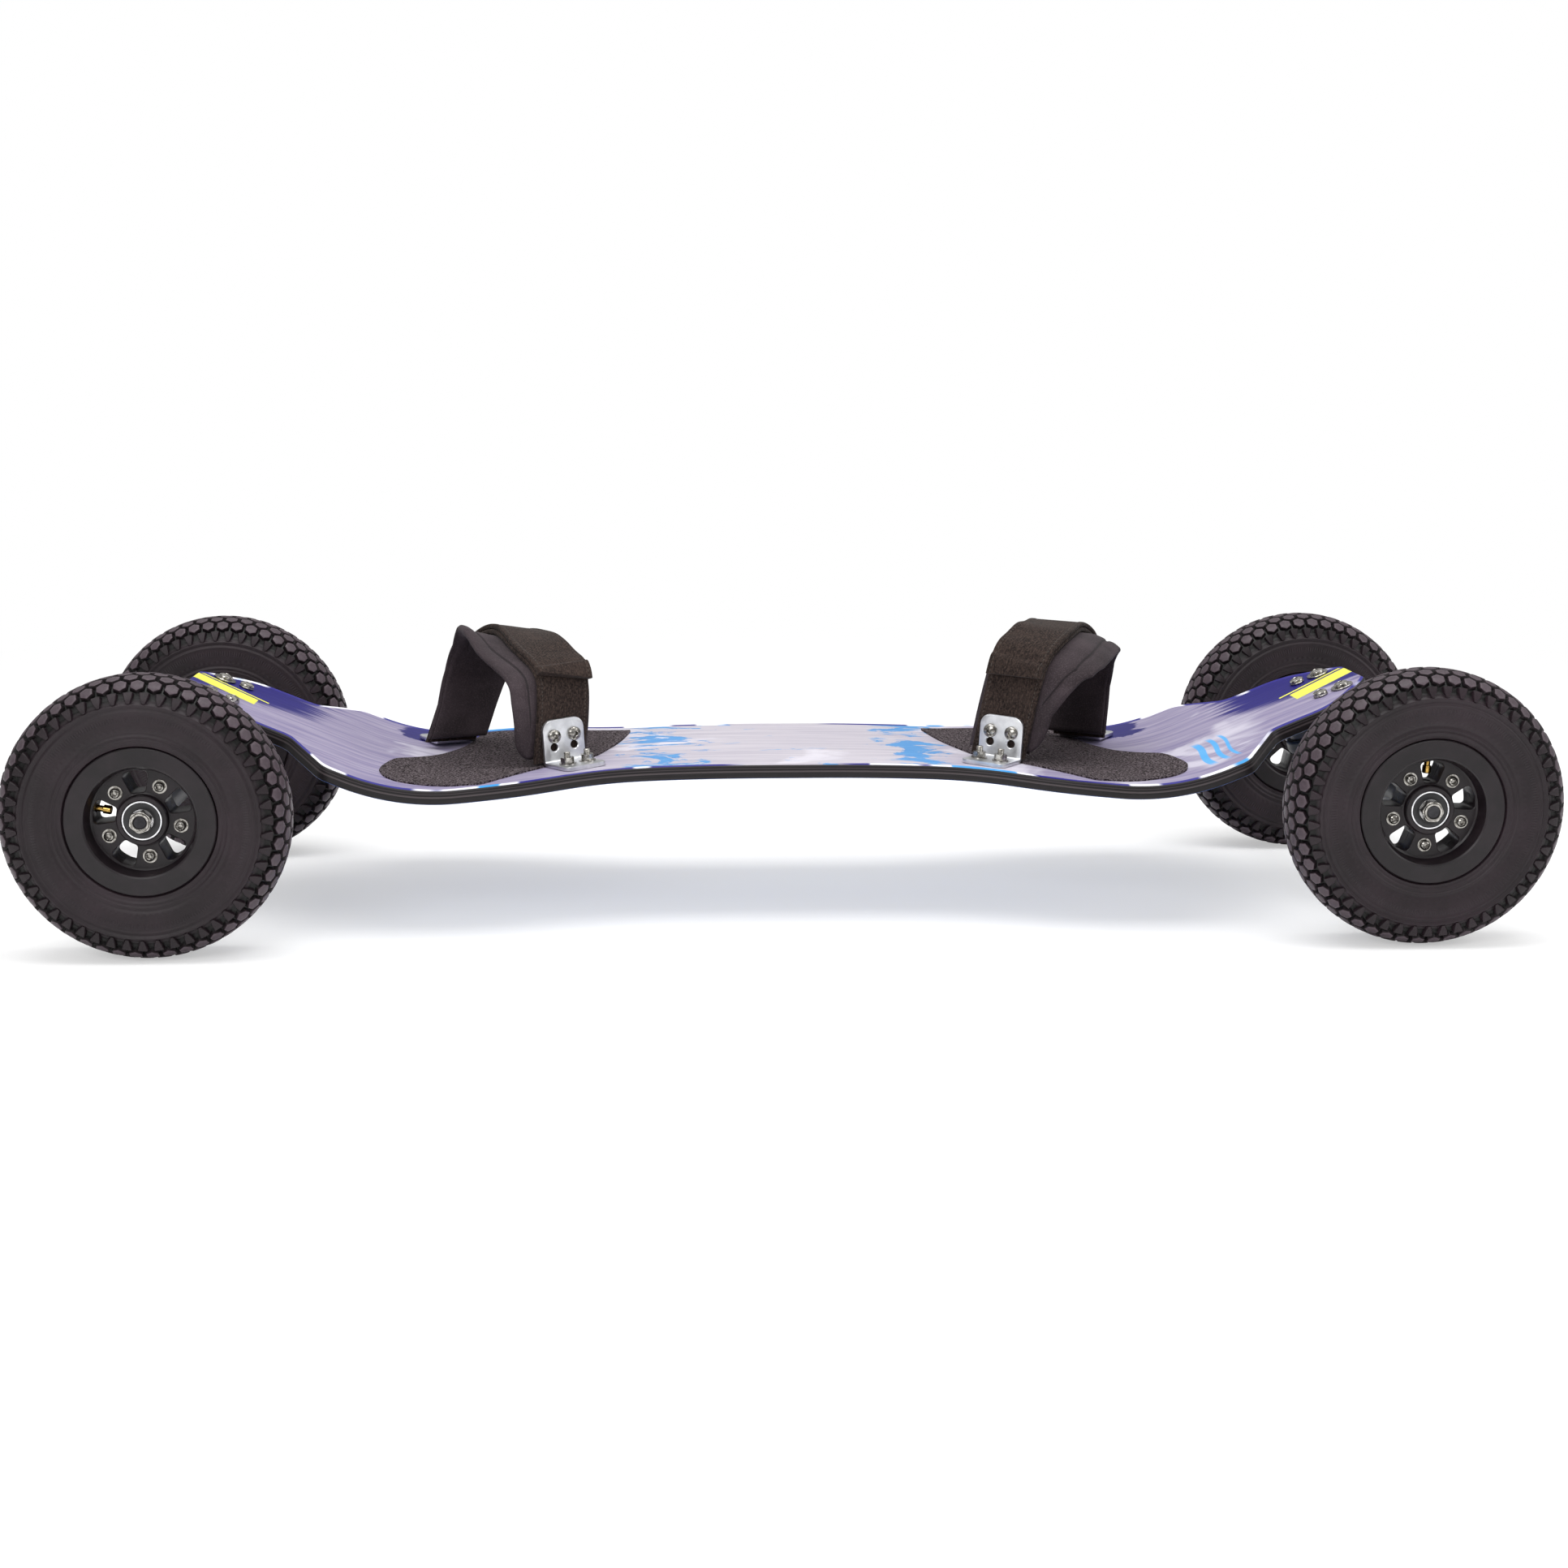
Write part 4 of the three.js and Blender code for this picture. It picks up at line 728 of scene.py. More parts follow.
def bracketFrames(side, inset, shift):
    # the feet of the near and far bracket, on their seats, with Y towards each other
    b = bracketSizes
    c, s = math.cos(math.radians(b["turn"])), math.sin(math.radians(b["turn"]))
    near = np.array([side * (deckSizes["axle"] - inset), b["across"], 0])
    far = near + np.array([side * s, c, 0]) * b["span"] - np.array([-side * c, s, 0]) * shift
    frames = []
    for k, place in enumerate((near, far)):
        turn = turnAbout("z", k * 180 - side * b["turn"])
        corners = spots([-b["half"], b["half"], -b["half"], b["half"]], [0, 0, -b["reach"], -b["reach"]], 0)
        x = carried(turn, corners)[:, 0]
        frames.append(seatOnDeck(place, x.min(), x.max()) @ moveBy(0, 0, b["lift"]) @ turn)
    return frames


feet = {
    "tail": {
        "side": -1, "frames": bracketFrames(-1, 285, 10), "sway": (11, 25), "top": (82, 97),
        "press": ((0.58, 0.1, 6.5), (0.33, 0.04, 2.5)), "flap": (4.3, -4.3),
        "rims": ((0, .64, 0),(.12, .69, 0), (.19, .73, .1), (.27, .75, .15), (.36, .79, .1),
                 (.46, .88, -.05), (.57, .93, -.3), (.64, .87, -.36), (.71, .68, -.1), (.8, .54, 0),
                 (.9, .43, 0), (1, .41, 0)),
    },
    "nose": {
        "side": 1, "frames": bracketFrames(1, 288.8, 4), "sway": (-10, 2), "top": (94, 95),
        "press": ((0.26, 0.05, -6.0), (0.365, 0.06, -4.0)), "flap": (-4.5, -1.3),
        "rims": ((0, .58, 0),(.12, .61, 0), (.19, .8, .05), (.27, 1.0, .35), (.38, 1.0, .6),
                 (.5, .97, .6), (.61, .95, .42), (.69, .82, .25), (.77, .62, .05), (.85, .5, 0),
                 (1, .42, 0)),
    },
}


gripSizes = {"start": 117.0, "length": 185.0, "half": 116.0, "top": 1.3, "low": 0.05}


def gripPiece(foot):
    # the sheet lies on the deck and dips under the brackets' feet
    shares = ((0, .56, .6),(.04, .17, .61), (.14, -.33, .655), (.35, -.6, .78), (.465, -.79, .855),
              (.58, -1, .95), (.655, -.97, .905), (.69, -.965, .457), (.79, -.93, .13),
              (.924, -.89, -.12), (.968, -.83, -.207), (.99, -.776, -.39), (1, -.65, -.61))
    start, length, half, lowest = [gripSizes[key] for key in ("start", "length", "half", "low")]
    stops = np.array(shares) * (length, half, half) + (start, 0, 0)
    rows = np.linspace(start, start + length, 371)
    kernel = np.hanning(33) / np.hanning(33).sum()
    sides = []
    for k in (1, 2):
        line = np.interp(rows, stops[:, 0], stops[:, k])
        line = np.concatenate([2 * line[0] - line[16:0:-1], line, 2 * line[-1] - line[-2:-18:-1]])
        sides.append(np.convolve(line, kernel, "valid")[::3][:, None])
    rows = rows[::3][:, None]
    across = sides[0] + (sides[1] - sides[0]) * np.linspace(0, 1, 110)
    rows = foot["side"] * rows
    height = np.full(across.shape, gripSizes["top"])
    for frame in foot["frames"]:
        local = carried(np.linalg.inv(frame), deckAt(rows, across, 0))
        beside = np.abs(local[..., 0]) - bracketSizes["half"]
        outside = np.maximum(beside, np.maximum(local[..., 1], -bracketSizes["reach"] - local[..., 1]))
        height = np.minimum(height, lowest + (gripSizes["top"] - lowest) * smoothStep(outside, 0.1, 1.6))
    flat = spots(rows, across) / 1000
    top, under = deckAt(rows, across, -height), deckAt(rows, across, -lowest / 2)
    shell = Shell().grid(top, flat=flat).grid(under, flat=flat)
    for row in (0, -1):
        shell.grid(np.stack([top[row], under[row]])).grid(np.stack([top[:, row], under[:, row]]))
    return shell


def boltShell(radius, height, hole):
    # a round head that stands on z = 0, with a hexagonal recess
    angles = wholeTurn(56)
    hexagon = hexShape(angles)
    rings = [(radius, 0, 1), (radius, height * 0.45, 1)]
    rings += [(radius * math.cos(a), height * (0.45 + 0.55 * math.sin(a)), 1) for a in (0.35, 0.7, 1.0)]
    rings += [(hole * 1.15, height, hexagon), (hole, height - 0.25, hexagon)]
    rings.append((hole * 0.98, height * 0.35, hexagon))
    return Shell().tube([onCircle(reach * form, angles, z) for reach, z, form in rings])


def nutShell(radius, height, bore, stub=0.0):
    # a chamfered hexagon nut on z = 0, with its thread standing out by the stub
    angles = wholeTurn(96)
    hexagon = hexShape(angles)
    levels = ((0, 0.93), (0.7, 1.02), (height - 0.7, 1.02), (height, 0.93))
    rings = [onCircle(np.minimum(radius * hexagon, radius * cap), angles, z) for z, cap in levels]
    rings += [onCircle(bore * 1.15, angles, height), onCircle(bore, angles, height - 0.6)]
    shell = Shell().tube(rings)
    if stub:
        shell.add(threadShell(bore * 0.99, height - 0.7, height + stub))
    return shell


def threadShell(radius, low, high, pitch=0.8):
    # a rod whose radius goes up and down along its length, once a pitch
    z = np.arange(low, high, pitch / 4)
    reach = radius - 0.14 * pitch + 0.14 * pitch * np.array([1, 0, -1, 0])[np.arange(len(z)) % 4]
    reach[-3:] = radius * np.array([0.97, 0.9, 0.8])
    return Shell().tube(onCircle(reach[:, None], wholeTurn(24), z[:, None]))


def cornerCut(radius, gap):
    # how far a rounded corner's side lies in, at some distance from the end
    return radius - np.sqrt(np.maximum(radius ** 2 - np.maximum(radius - gap, 0) ** 2, 0))


def bracketSheet():
    # a flat strip carried round the bend: u runs from the foot's end up to the upright's top
    b = bracketSizes
    bendRun = math.pi / 2 * (b["bend"] - b["thick"] / 2)
    straight = b["reach"] - b["bend"]
    total = 2 * straight + bendRun
    ends = b["footRound"] * (1 - np.cos(np.linspace(0, math.pi / 2, 9)))
    heads = total - b["topRound"] * (1 - np.cos(np.linspace(0, math.pi / 2, 12)))
    bend = straight + np.linspace(0, bendRun, 9)
    foot = np.linspace(b["footRound"], straight, 8)
    upright = np.linspace(bend[-1], total - b["topRound"], 8)
    u = np.unique(np.round(np.concatenate([ends, foot, bend, heads, upright]), 6))
    half = b["half"] - cornerCut(b["footRound"], u) - cornerCut(b["topRound"], total - u)
    # section through the strip: across share, depth share and the inset at its rounded edges
    e = b["edge"]
    ring = [(-1, 0.0, e), (-1, e * 0.3, e * 0.3), (-1, e, 0), (-1, b["thick"] - e, 0),
            (-1, b["thick"] - e * 0.3, e * 0.3), (-1, b["thick"], e)]
    ring += [(s, b["thick"], e) for s in (-0.6, -0.2, 0.2, 0.6)]
    ring += [(1, depth, inset) for _, depth, inset in reversed(ring[:6])]
    ring += [(s, 0.0, e) for s in (0.6, 0.2, -0.2, -0.6)]
    share, depth, inset = np.array(ring).T
    x = half[:, None] * share - np.sign(share) * inset * (np.abs(share) == 1)
    angle = clamped((u - straight) / bendRun)[:, None] * math.pi / 2
    past = np.maximum(u - straight - bendRun, 0)[:, None]
    before = np.minimum(u, straight)[:, None]
    radius = b["bend"] - depth
    y = -b["reach"] + before + radius * np.sin(angle)
    z = b["bend"] - radius * np.cos(angle) + past
    mesh = meshOf("bracket", Shell().tube(spots(x, y, z)))
    holes = Shell()
    hole = [(0, -9), (3.7, -9), (3.7, -3.0), (3.1, -2.5), (3.1, -0.5), (3.7, 0), (3.7, 6), (0, 6)]
    for side in (-1, 1):
        holes.add(solid(hole, 40), moveBy(side * b["holeAcross"], 0, b["holeHeight"]) @ turnAbout("x", -90))
    return cutOut(mesh, holes)


def bracketFasteners(frame, far):
    # bolts through the upright, and bolts with washers and nuts through the foot and the deck
    b = bracketSizes
    bolts, nuts = Shell(), Shell()
    for k, x in enumerate((-b["holeAcross"], b["holeAcross"])):
        head = frame @ moveBy(x, -b["thick"], b["boltHeight"]) @ turnAbout("x", 90)
        bolts.add(boltShell(5.1, 3.6, hole=1.9), head @ turnAbout("z", 17 + 31 * k))
        washer = turnedShell([(2.6, 0), (6.2, 0), (6.2, 0.8), (2.6, 0.8)], 36)
        nuts.add(washer, frame @ moveBy(x, b["footHole"], b["thick"]))
        spin = turnAbout("z", 11 + 24 * k + 9 * far)
        nuts.add(nutShell(5.1, 4.5, 2.5, 4.0), frame @ moveBy(x, b["footHole"], b["thick"] + 0.7) @ spin)
        below = frame @ moveBy(x, b["footHole"], -deckSizes["thickness"] - 0.45) @ turnAbout("x", 180)
        bolts.add(boltShell(6.0, 2.2, hole=1.9), below)
    return bolts, nuts


# Bindings

loopSizes = {
    "span": bracketSizes["span"], "height": 91.0, "rise": 22.5, "inset": 3.3, "sole": 3.0,
    "width": 44.0, "thick": 3.0, "gap": 0.7, "steps": 22,
    "shares": ((0, .19),(0, .37), (.012, .62), (.045, .78), (.13, .885), (.28, .965), (.46, 1),
               (.64, .995), (.8, .93), (.92, .79), (.985, .58), (1, .37), (1, .19)),
}


def loopTrack():
    # arc length, position and direction along the loop in the plane between its brackets
    size = loopSizes
    knots = np.array(size["shares"]) * (size["span"] - 2 * size["inset"], size["height"]) + (size["inset"], 0)
    around = np.concatenate([knots[:1], knots, knots[-1:]])
    t = np.linspace(0, 1, 60, endpoint=False)[:, None]
    curve = [np.linspace((knots[0][0], size["sole"]), knots[0], 40, endpoint=False)]
    for a, b, c, d in zip(around, around[1:], around[2:], around[3:]):
        curve.append(smoothBetween(a, b, c, d, t))
    curve.append(np.linspace(knots[-1], (knots[-1][0], size["sole"]), 40))
    curve = np.concatenate(curve)
    length = np.concatenate([[0], np.cumsum(np.linalg.norm(np.diff(curve, axis=0), axis=1))])
    return length, curve


loopLength, loopCurve = loopTrack()
loopTotal = loopLength[-1]


def loopPlace(foot, share, across, outwards):
    # a place by its share of the loop's length, its offset across the strap and its height above the strap
    length = share * loopTotal
    point = [np.interp(length, loopLength, loopCurve[:, k]) for k in (0, 1)]
    ahead = [np.interp(length + 1.5, loopLength, loopCurve[:, k]) for k in (0, 1)]
    behind = [np.interp(length - 1.5, loopLength, loopCurve[:, k]) for k in (0, 1)]
    run = [ahead[0] - behind[0], ahead[1] - behind[1]]
    size = np.hypot(*run)
    along = point[0] - outwards * run[1] / size
    height = point[1] + outwards * run[0] / size
    lean = (height - loopSizes["rise"]) / (loopSizes["height"] - loopSizes["rise"])
    for middle, wide, drop in foot["press"]:
        height = height - drop * np.exp(-((share - middle) / wide) ** 2) * smoothStep(across, -30, 30)
    sides = []
    for k, (x, y) in enumerate(((-foot["side"], along), (foot["side"], loopSizes["span"] - along))):
        scaled = height * foot["top"][k] / loopSizes["height"]
        sides.append(carried(foot["frames"][k], spots(x * (across + foot["sway"][k] * lean), y, scaled)))
    blend = smoothStep(along, 0.2 * loopSizes["span"], 0.8 * loopSizes["span"])[..., None]
    return sides[0] * (1 - blend) + sides[1] * blend


def strapShell(foot, start, stop, low, high, skew=0.0):
    # a strap with rounded and taped edges; low and high give its two faces by the share of the loop
    size = loopSizes
    half = size["width"] / 2
    tape = [(-half + x, y) for x, y in ((0.5, 0.35), (1.2, 0.75), (3.2, 0.8), (3.7, 0.45), (4.1, 0.0))]
    middle = [(x, 0.0) for x in np.linspace(-half + 5.5, half - 5.5, 15)]
    top = tape + middle + [(-x, y) for x, y in reversed(tape)]
    across = np.array([x for x, _ in top])
    bump = np.array([y for _, y in top]) * 0.45
    across = np.concatenate([[-half], [-half], across, [half], [half], across[::-1]])
    level = np.concatenate([[0.28, 0.75], np.ones(len(top)), [0.75, 0.28], np.zeros(len(top))])
    bump = np.concatenate([[0, 0], bump, [0, 0], np.zeros(len(top))])
    rows = np.linspace(0, 1, int((stop - start) * loopTotal / 1.2))[:, None]
    first = start + skew * across / half
    share = first + (stop - first) * rows
    bottom, above = low(share), high(share)
    points = loopPlace(foot, share, across, bottom + (above - bottom) * level + bump)
    flat = spots(share * loopTotal, across) / 1000
    mark = (half - np.abs(across)) / 1000
    shell = Shell().grid(points, flat=np.concatenate([flat, flat[:, :1]], 1), closeColumns=True, mark=mark)
    for ring in points[[0, -1]]:
        # an end face between the upper half of the ring and the lower half
        upper, lower = ring[1:len(top) + 3], np.concatenate([ring[:1], ring[len(top) + 3:][::-1]])
        shell.grid(np.stack([upper, lower]), mark=0.01)
    return shell


def nearStrapPiece(foot):
    return strapShell(foot, 0.0, 15 / loopSizes["steps"], lambda s: 0.0, lambda s: loopSizes["thick"])


def farStrapPiece(foot):
    # it lies on the near strap up to its end, and is folded back under itself at its own end
    thick, gap, steps = loopSizes["thick"], loopSizes["gap"], loopSizes["steps"]
    shift, skew = foot["flap"]
    start = 5 / steps + shift / loopTotal

    def low(share):
        return (thick + gap) * (1 - smoothStep(share * steps, 15, 17))

    def high(share):
        return low(share) + thick + 2.6 * (1 - smoothStep((share - start) * loopTotal, 7.5, 10.0))

    return strapShell(foot, start, 1.0, low, high, skew / loopTotal)


def padSection(foot, share):
    # corners across the pad and its height below the straps, as in the CAD, for each share of the loop
    rims = np.array(foot["rims"])
    reach, droop = (np.interp(share, rims[:, 0], rims[:, k]) for k in (1, 2))
    # the toe side's rim is cut round where the pad meets the deck beside the near bracket
    near = 1 - clamped((share * loopTotal - 3) / 22)
    rim, lift = 52 * reach - 15 * (1 - np.sqrt(1 - near ** 2)), -20 * droop
    sag = 12 * np.sin(math.pi * share) ** 4
    half, gap, thick, edge, heel = loopSizes["width"] / 2, loopSizes["gap"], 8.0, 4.5, 25.0
    mid, midTop = (half + rim) / 2, lift * 0.3 - gap
    return [
        (heel, -gap - (thick - edge) / 2 - sag), (half, -gap), (-half, -gap), (-mid, midTop),
        (-rim, lift - gap), (-rim, lift - gap - edge), (-mid, midTop - thick * 0.8), (-0.6 * half, -gap - thick),
        (0.6 * half, -gap - thick), (heel, -gap - (thick + edge) / 2 - sag),
    ]


def padPiece(foot):
    # top and under faces as smooth lines between the rims, joined by rolled edges
    steps = loopSizes["steps"]
    share = np.linspace(0.25 / steps, (steps - 0.25) / steps, 350)
    corners = [spots(*corner, share)[:, :2] for corner in padSection(foot, share)]
    heelTop, strapHeel, strapToe, midTop, rimTop, rimFoot, midFoot, flatToe, flatHeel, heelFoot = corners

    def line(stops, count):
        # a smooth line through the stops, eased near both ends
        knots = np.stack(stops, 1)
        at = np.linspace(0, 1, count) * (len(stops) - 1)
        k = np.minimum(at.astype(int), len(stops) - 2)
        a, b = knots[:, np.maximum(k - 1, 0)], knots[:, k]
        c, d = knots[:, k + 1], knots[:, np.minimum(k + 2, len(stops) - 1)]
        return smoothBetween(a, b, c, d, (at - k)[None, :, None])

    # the ring round each section: 60 points on top, 9 on the toe roll, 44 under it and 9 on the heel roll
    topFace, underFace = slice(0, 60), slice(69, 113)
    top = line([heelTop, strapHeel, (strapHeel + strapToe) / 2, strapToe, midTop, rimTop], 60)
    under = line([heelFoot, flatHeel, flatToe, midFoot, rimFoot], 44)
    # rolled rims: half circles between the two faces, and a little thicker than the foam beside them
    turn = np.linspace(0, math.pi, 11)[1:-1]

    def roll(upper, lower, side):
        middle, radius = (upper + lower) / 2, np.abs(upper - lower)[:, 1:] / 2
        across = middle[:, :1] + side * radius * np.sin(turn)
        return np.stack([across, middle[:, 1:] + radius * np.cos(turn)], -1)

    toeRoll = roll(rimTop, rimFoot, -1)
    heelRoll = roll(heelTop, heelFoot, 1)
    ring = np.concatenate([top, toeRoll, under[:, ::-1], heelRoll[:, ::-1]], 1)
    across, out = ring[..., 0].copy(), ring[..., 1].copy()
    # the ends are rounded off: the section shrinks towards its middle over the last few millimetres
    end = np.minimum(share - share[0], share[-1] - share) * loopTotal
    near = clamped(end / 4.0)
    thin = np.sqrt(1 - (1 - near) ** 2)[:, None]
    core = (out[:, topFace].mean(1) + out[:, underFace].mean(1))[:, None] / 2
    out = core + (out - core) * (0.12 + 0.88 * thin)
    # seam: a channel 10 mm in from the toe side's rim, with the foam standing up on both sides of it
    inside = across + np.abs(rimTop[:, :1])
    toeSide = clamped((-across - 24) / 6)
    channel = np.exp(-((inside - 9.5) / 1.3) ** 2) * toeSide
    swell = np.exp(-((inside - 3.2) / 4.2) ** 2) * toeSide * 0.9
    swell = swell + np.exp(-((inside - 20) / 9) ** 2) * toeSide * 0.5
    upper, lower = np.zeros((2, ring.shape[1]))
    upper[topFace] = lower[underFace] = 1.0
    # slow wrinkles that run across the pad, strongest where the loop bends
    rows = share[:, None]
    phase = rows * loopTotal
    bend = np.exp(-((rows - 0.2) / 0.06) ** 2) + np.exp(-((rows - 0.8) / 0.06) ** 2)
    wrinkle = 0.35 * np.sin(phase / 3.1 + across * 0.11) * np.sin(phase / 7.7 + across * 0.05)
    wrinkle = wrinkle * bend * toeSide
    out += (swell - 1.3 * channel + wrinkle) * upper - (swell * 0.5 - 0.9 * channel) * lower
    points = loopPlace(foot, rows, across, out)
    flat = spots(phase, across) / 1000
    mark = np.where(toeSide > 0.2, inside + 0.001, 30.0) / 1000
    shell = Shell().grid(points, flat=np.concatenate([flat, flat[:, :1]], 1), closeColumns=True, mark=mark)
    return shell.cap(points[0]).cap(points[-1])


addPiece("deckBoard", deckPiece(), ["print", "edge", "under"], "board", ["deck"], sharp=40)
bracketMesh = bracketSheet()
for foot, form in feet.items():
    addPiece(f"grip_sheet_{foot}", gripPiece(form), ["grip"], "board", [f"grip_{foot}"], sharp=60)
    for word, frameOf in zip(("right", "left"), form["frames"]):
        name = f"bracket_{foot}_{word}"
        sheet = placed(bracketMesh, f"plate_{foot}_{word}", frameOf, sharp=32)
        bolts, nuts = bracketFasteners(frameOf, word == "left")
        addPiece(f"plate_{foot}_{word}", sheet, ["sheet"], "board", [name])
        addPiece(f"plate_bolts_{foot}_{word}", bolts, ["steel"], "board", ())
        addPiece(f"plate_nuts_{foot}_{word}", nuts, ["zinc"], "board", ())
    near, far = nearStrapPiece(form), farStrapPiece(form)
    addPiece(f"near_strap_{foot}", near, ["strap"], "board", [f"strap_{foot}_right"], sharp=50)
    addPiece(f"far_strap_{foot}", far, ["strap"], "board", [f"strap_{foot}_left"], sharp=50)
    pad = addPiece(f"cushion_{foot}", padPiece(form), ["pad"], "board", [f"foot_pad_{foot}"], sharp=70)
print("deck and bindings made")

# Trucks, in a frame on each axle's middle with the tip's underside at z = 59.5

truckSizes = {
    "kingpin": -26.0, "lean": math.degrees(math.atan2(40.2 - 32.1, 42.0)),
    "leanLength": math.hypot(42.0, 8.1), "ring": 32.1, "plateTop": 59.2, "plateFoot": 53.7, "boltAcross": 32.5,
    "boltAlong": 17.3, "boltShift": 5.0,
}
kingpinFrame = moveBy(truckSizes["kingpin"], 0, 0)
leanFrame = moveBy(truckSizes["kingpin"], 0, truckSizes["ring"]) @ turnAbout("y", 90 - truckSizes["lean"])
alongY = turnAbout("x", -90)


def axleFrame(side):
    place = moveBy(side * deckSizes["axle"], 0, deckSizes["axleHeight"])
    return place @ turnAbout("z", 180 if side < 0 else 0)


def boltPlaces():
    # the four bolts of a truck: the distance in from the outer pair, the side and the place
    t = truckSizes
    return [(inset, side, moveBy(t["boltShift"] - inset, side * t["boltAcross"], 0))
            for inset in (0, t["boltAlong"]) for side in (-1, 1)]


def castMesh(shell, size, smooth):
    # overlapping shapes made one rounded casting
    remesh = ("REMESH", {"mode": "VOXEL", "voxel_size": size / 1000})
    return worked(meshOf("cast", shell), remesh, ("SMOOTH", {"factor": 0.5, "iterations": smooth}))


def baseplateMesh():
    corners = [(-42, -44, 8), (8, -44, 8), (22, -22, 8), (22, 22, 8), (8, 44, 8), (-42, 44, 8)]
    t = truckSizes
    shell = plateShell(roundedCorners(corners, steps=8), t["plateFoot"], t["plateTop"], 0.8)
    shell.add(solid([(0, 49.7), (13.7, 49.7), (14.5, 50.5), (16.0, 54.5), (0, 55)]), kingpinFrame)
    turn = np.linspace(-math.pi / 2, math.pi / 2, 25)
    housing = np.concatenate([np.stack([11 * np.cos(turn), 11 * np.sin(turn)], -1), [(-17, 11), (-17, -11)]])
    start = t["leanLength"] - 8
    shell.add(plateShell(housing, start, start + 16, 1.2), leanFrame)
    # ribs from the pivot's housing to the plate's ends
    for side in (-1, 1):
        rib = [(-36, 52.5), (16, 52.5), (16, 54.5), (-36, 54.5)]
        shell.add(plateShell(rib, -1.6, 1.6, 0.6), moveBy(0, side * 19, 0) @ turnAbout("x", 90))
    mesh = castMesh(shell, 1.0, 4)
    bores = Shell()
    for _, _, place in boltPlaces():
        bores.add(rodShell(3.2, 50, 62, 24), place)
    bores.add(rodShell(5.4, 40, 62), kingpinFrame).add(rodShell(8.2, 20, t["leanLength"] + 5.8), leanFrame)
    return cutOut(mesh, bores)


def truckBoltShell():
    # each bolt has a washer above the deck, a wide one on the outer pair, and a nut under the baseplate
    shell = Shell()
    deckTop, plateFoot = 69.8, 53.6
    for inset, side, place in boltPlaces():
        wide = 5.6 if inset else 8.6
        washer = [(3, 0), (wide - 0.3, 0), (wide, 0.3), (wide, 1.0), (wide - 0.3, 1.3), (3, 1.3)]
        top, turn = place @ moveBy(0, 0, deckTop), turnAbout("z", 13 + 40 * side + inset * 3)
        shell.add(turnedShell(washer, 48), top)
        shell.add(boltShell(5.4, 3.2, hole=2.0), top @ moveBy(0, 0, 1.35) @ turn)
        under = top @ moveBy(0, 0, plateFoot - deckTop) @ turnAbout("x", 180)
        shell.add(nutShell(5.6, 4.5, 3.0, 3.0), under @ turn)
    return shell


def hangerMesh():
    # sleeve, wing with ribs and rims, seat of the bushings and neck, cast as one
    shell = Shell()
    end, shoulder = 147.7, 134.7
    sleeve = [(0, -end), (7.6, -end), (8, 0.4 - end)]
    sleeve += [(8, -shoulder - 1), (9.2, -shoulder + 1.5), (11, -shoulder + 4)]
    shell.add(solid(sleeve + [(r, -z) for r, z in reversed(sleeve)], 64), alongY)
    wing = [(-92, -4, 3), (92, -4, 3), (92, 4, 4), (15, 33, 14), (-15, 33, 14), (-92, 4, 4)]
    wing = plateShell(roundedCorners(wing, steps=6), -4, 4, 1.6)
    shell.add(wing, turnAbout("z", 90) @ turnAbout("x", 90))
    rib = [(4, 0, 2), (5, 30, 3), (-12.4, 36.6, 2), (-12.4, 27.6, 3), (-5, 9, 5), (-4, 0, 2)]
    shell.add(plateShell(roundedCorners(rib), -13, 13, 1.2), turnAbout("x", 90))
    # a thin stiffening rim that follows the wing's upper edge
    for side in (-1, 1):
        edge = [(92, 5), (13, 34.2), (13, 30.5), (88, 2.5)]
        bead = plateShell([(side * x, z) for x, z in edge], -5.6, 5.6, 1.4)
        shell.add(bead, turnAbout("z", 90) @ turnAbout("x", 90))
    seat = [(7.8, 27.1), (16.3, 27.1), (17.5, 28.3), (17.5, 35.9), (16.3, 37.1), (7.8, 37.1)]
    shell.add(turnedShell(seat, 64), kingpinFrame)
    neck = [(0, 12.5), (8.6, 12.5), (8.6, 26), (8.0, 31.5), (5.6, 32.5), (5.5, 44), (4, 46), (0, 46.1)]
    shell.add(solid(neck, 48), leanFrame)
    mesh = castMesh(shell, 1.25, 7)
    cutter = Shell().add(rodShell(7.6, 20, 45), kingpinFrame).add(rodShell(5.1, -160, 160, 32), alongY)
    return cutOut(mesh, cutter)


def bushingShell(low, high):
    # a squashed barrel: rounded rims, a slight waist and a crease at both ends
    t = np.linspace(0, 1, 15)
    side = 13 - 1.6 * np.sin(math.pi * t) ** 1.4
    profile = [(5.4, low), (12.0, low)]
    profile += [(r - (0.5 if k in (0, 14) else 0), low + (high - low) * (0.04 + 0.92 * s))
                for k, (r, s) in enumerate(zip(side, t))]
    profile += [(12.0, high), (5.4, high)]
    return Shell().add(turnedShell(profile, 64), kingpinFrame)


def kingpinShell():
    # hexagonal head in the baseplate, shank and threaded end
    shell = Shell().add(nutShell(9.4, 4.6, 2.2), kingpinFrame @ moveBy(0, 0, truckSizes["plateTop"] - 4.7))
    shell.add(rodShell(5, 9, 55), kingpinFrame)
    return shell.add(threadShell(5, 3.2, 20, 1.2), kingpinFrame @ moveBy(0, 0, 23.2) @ turnAbout("x", 180))


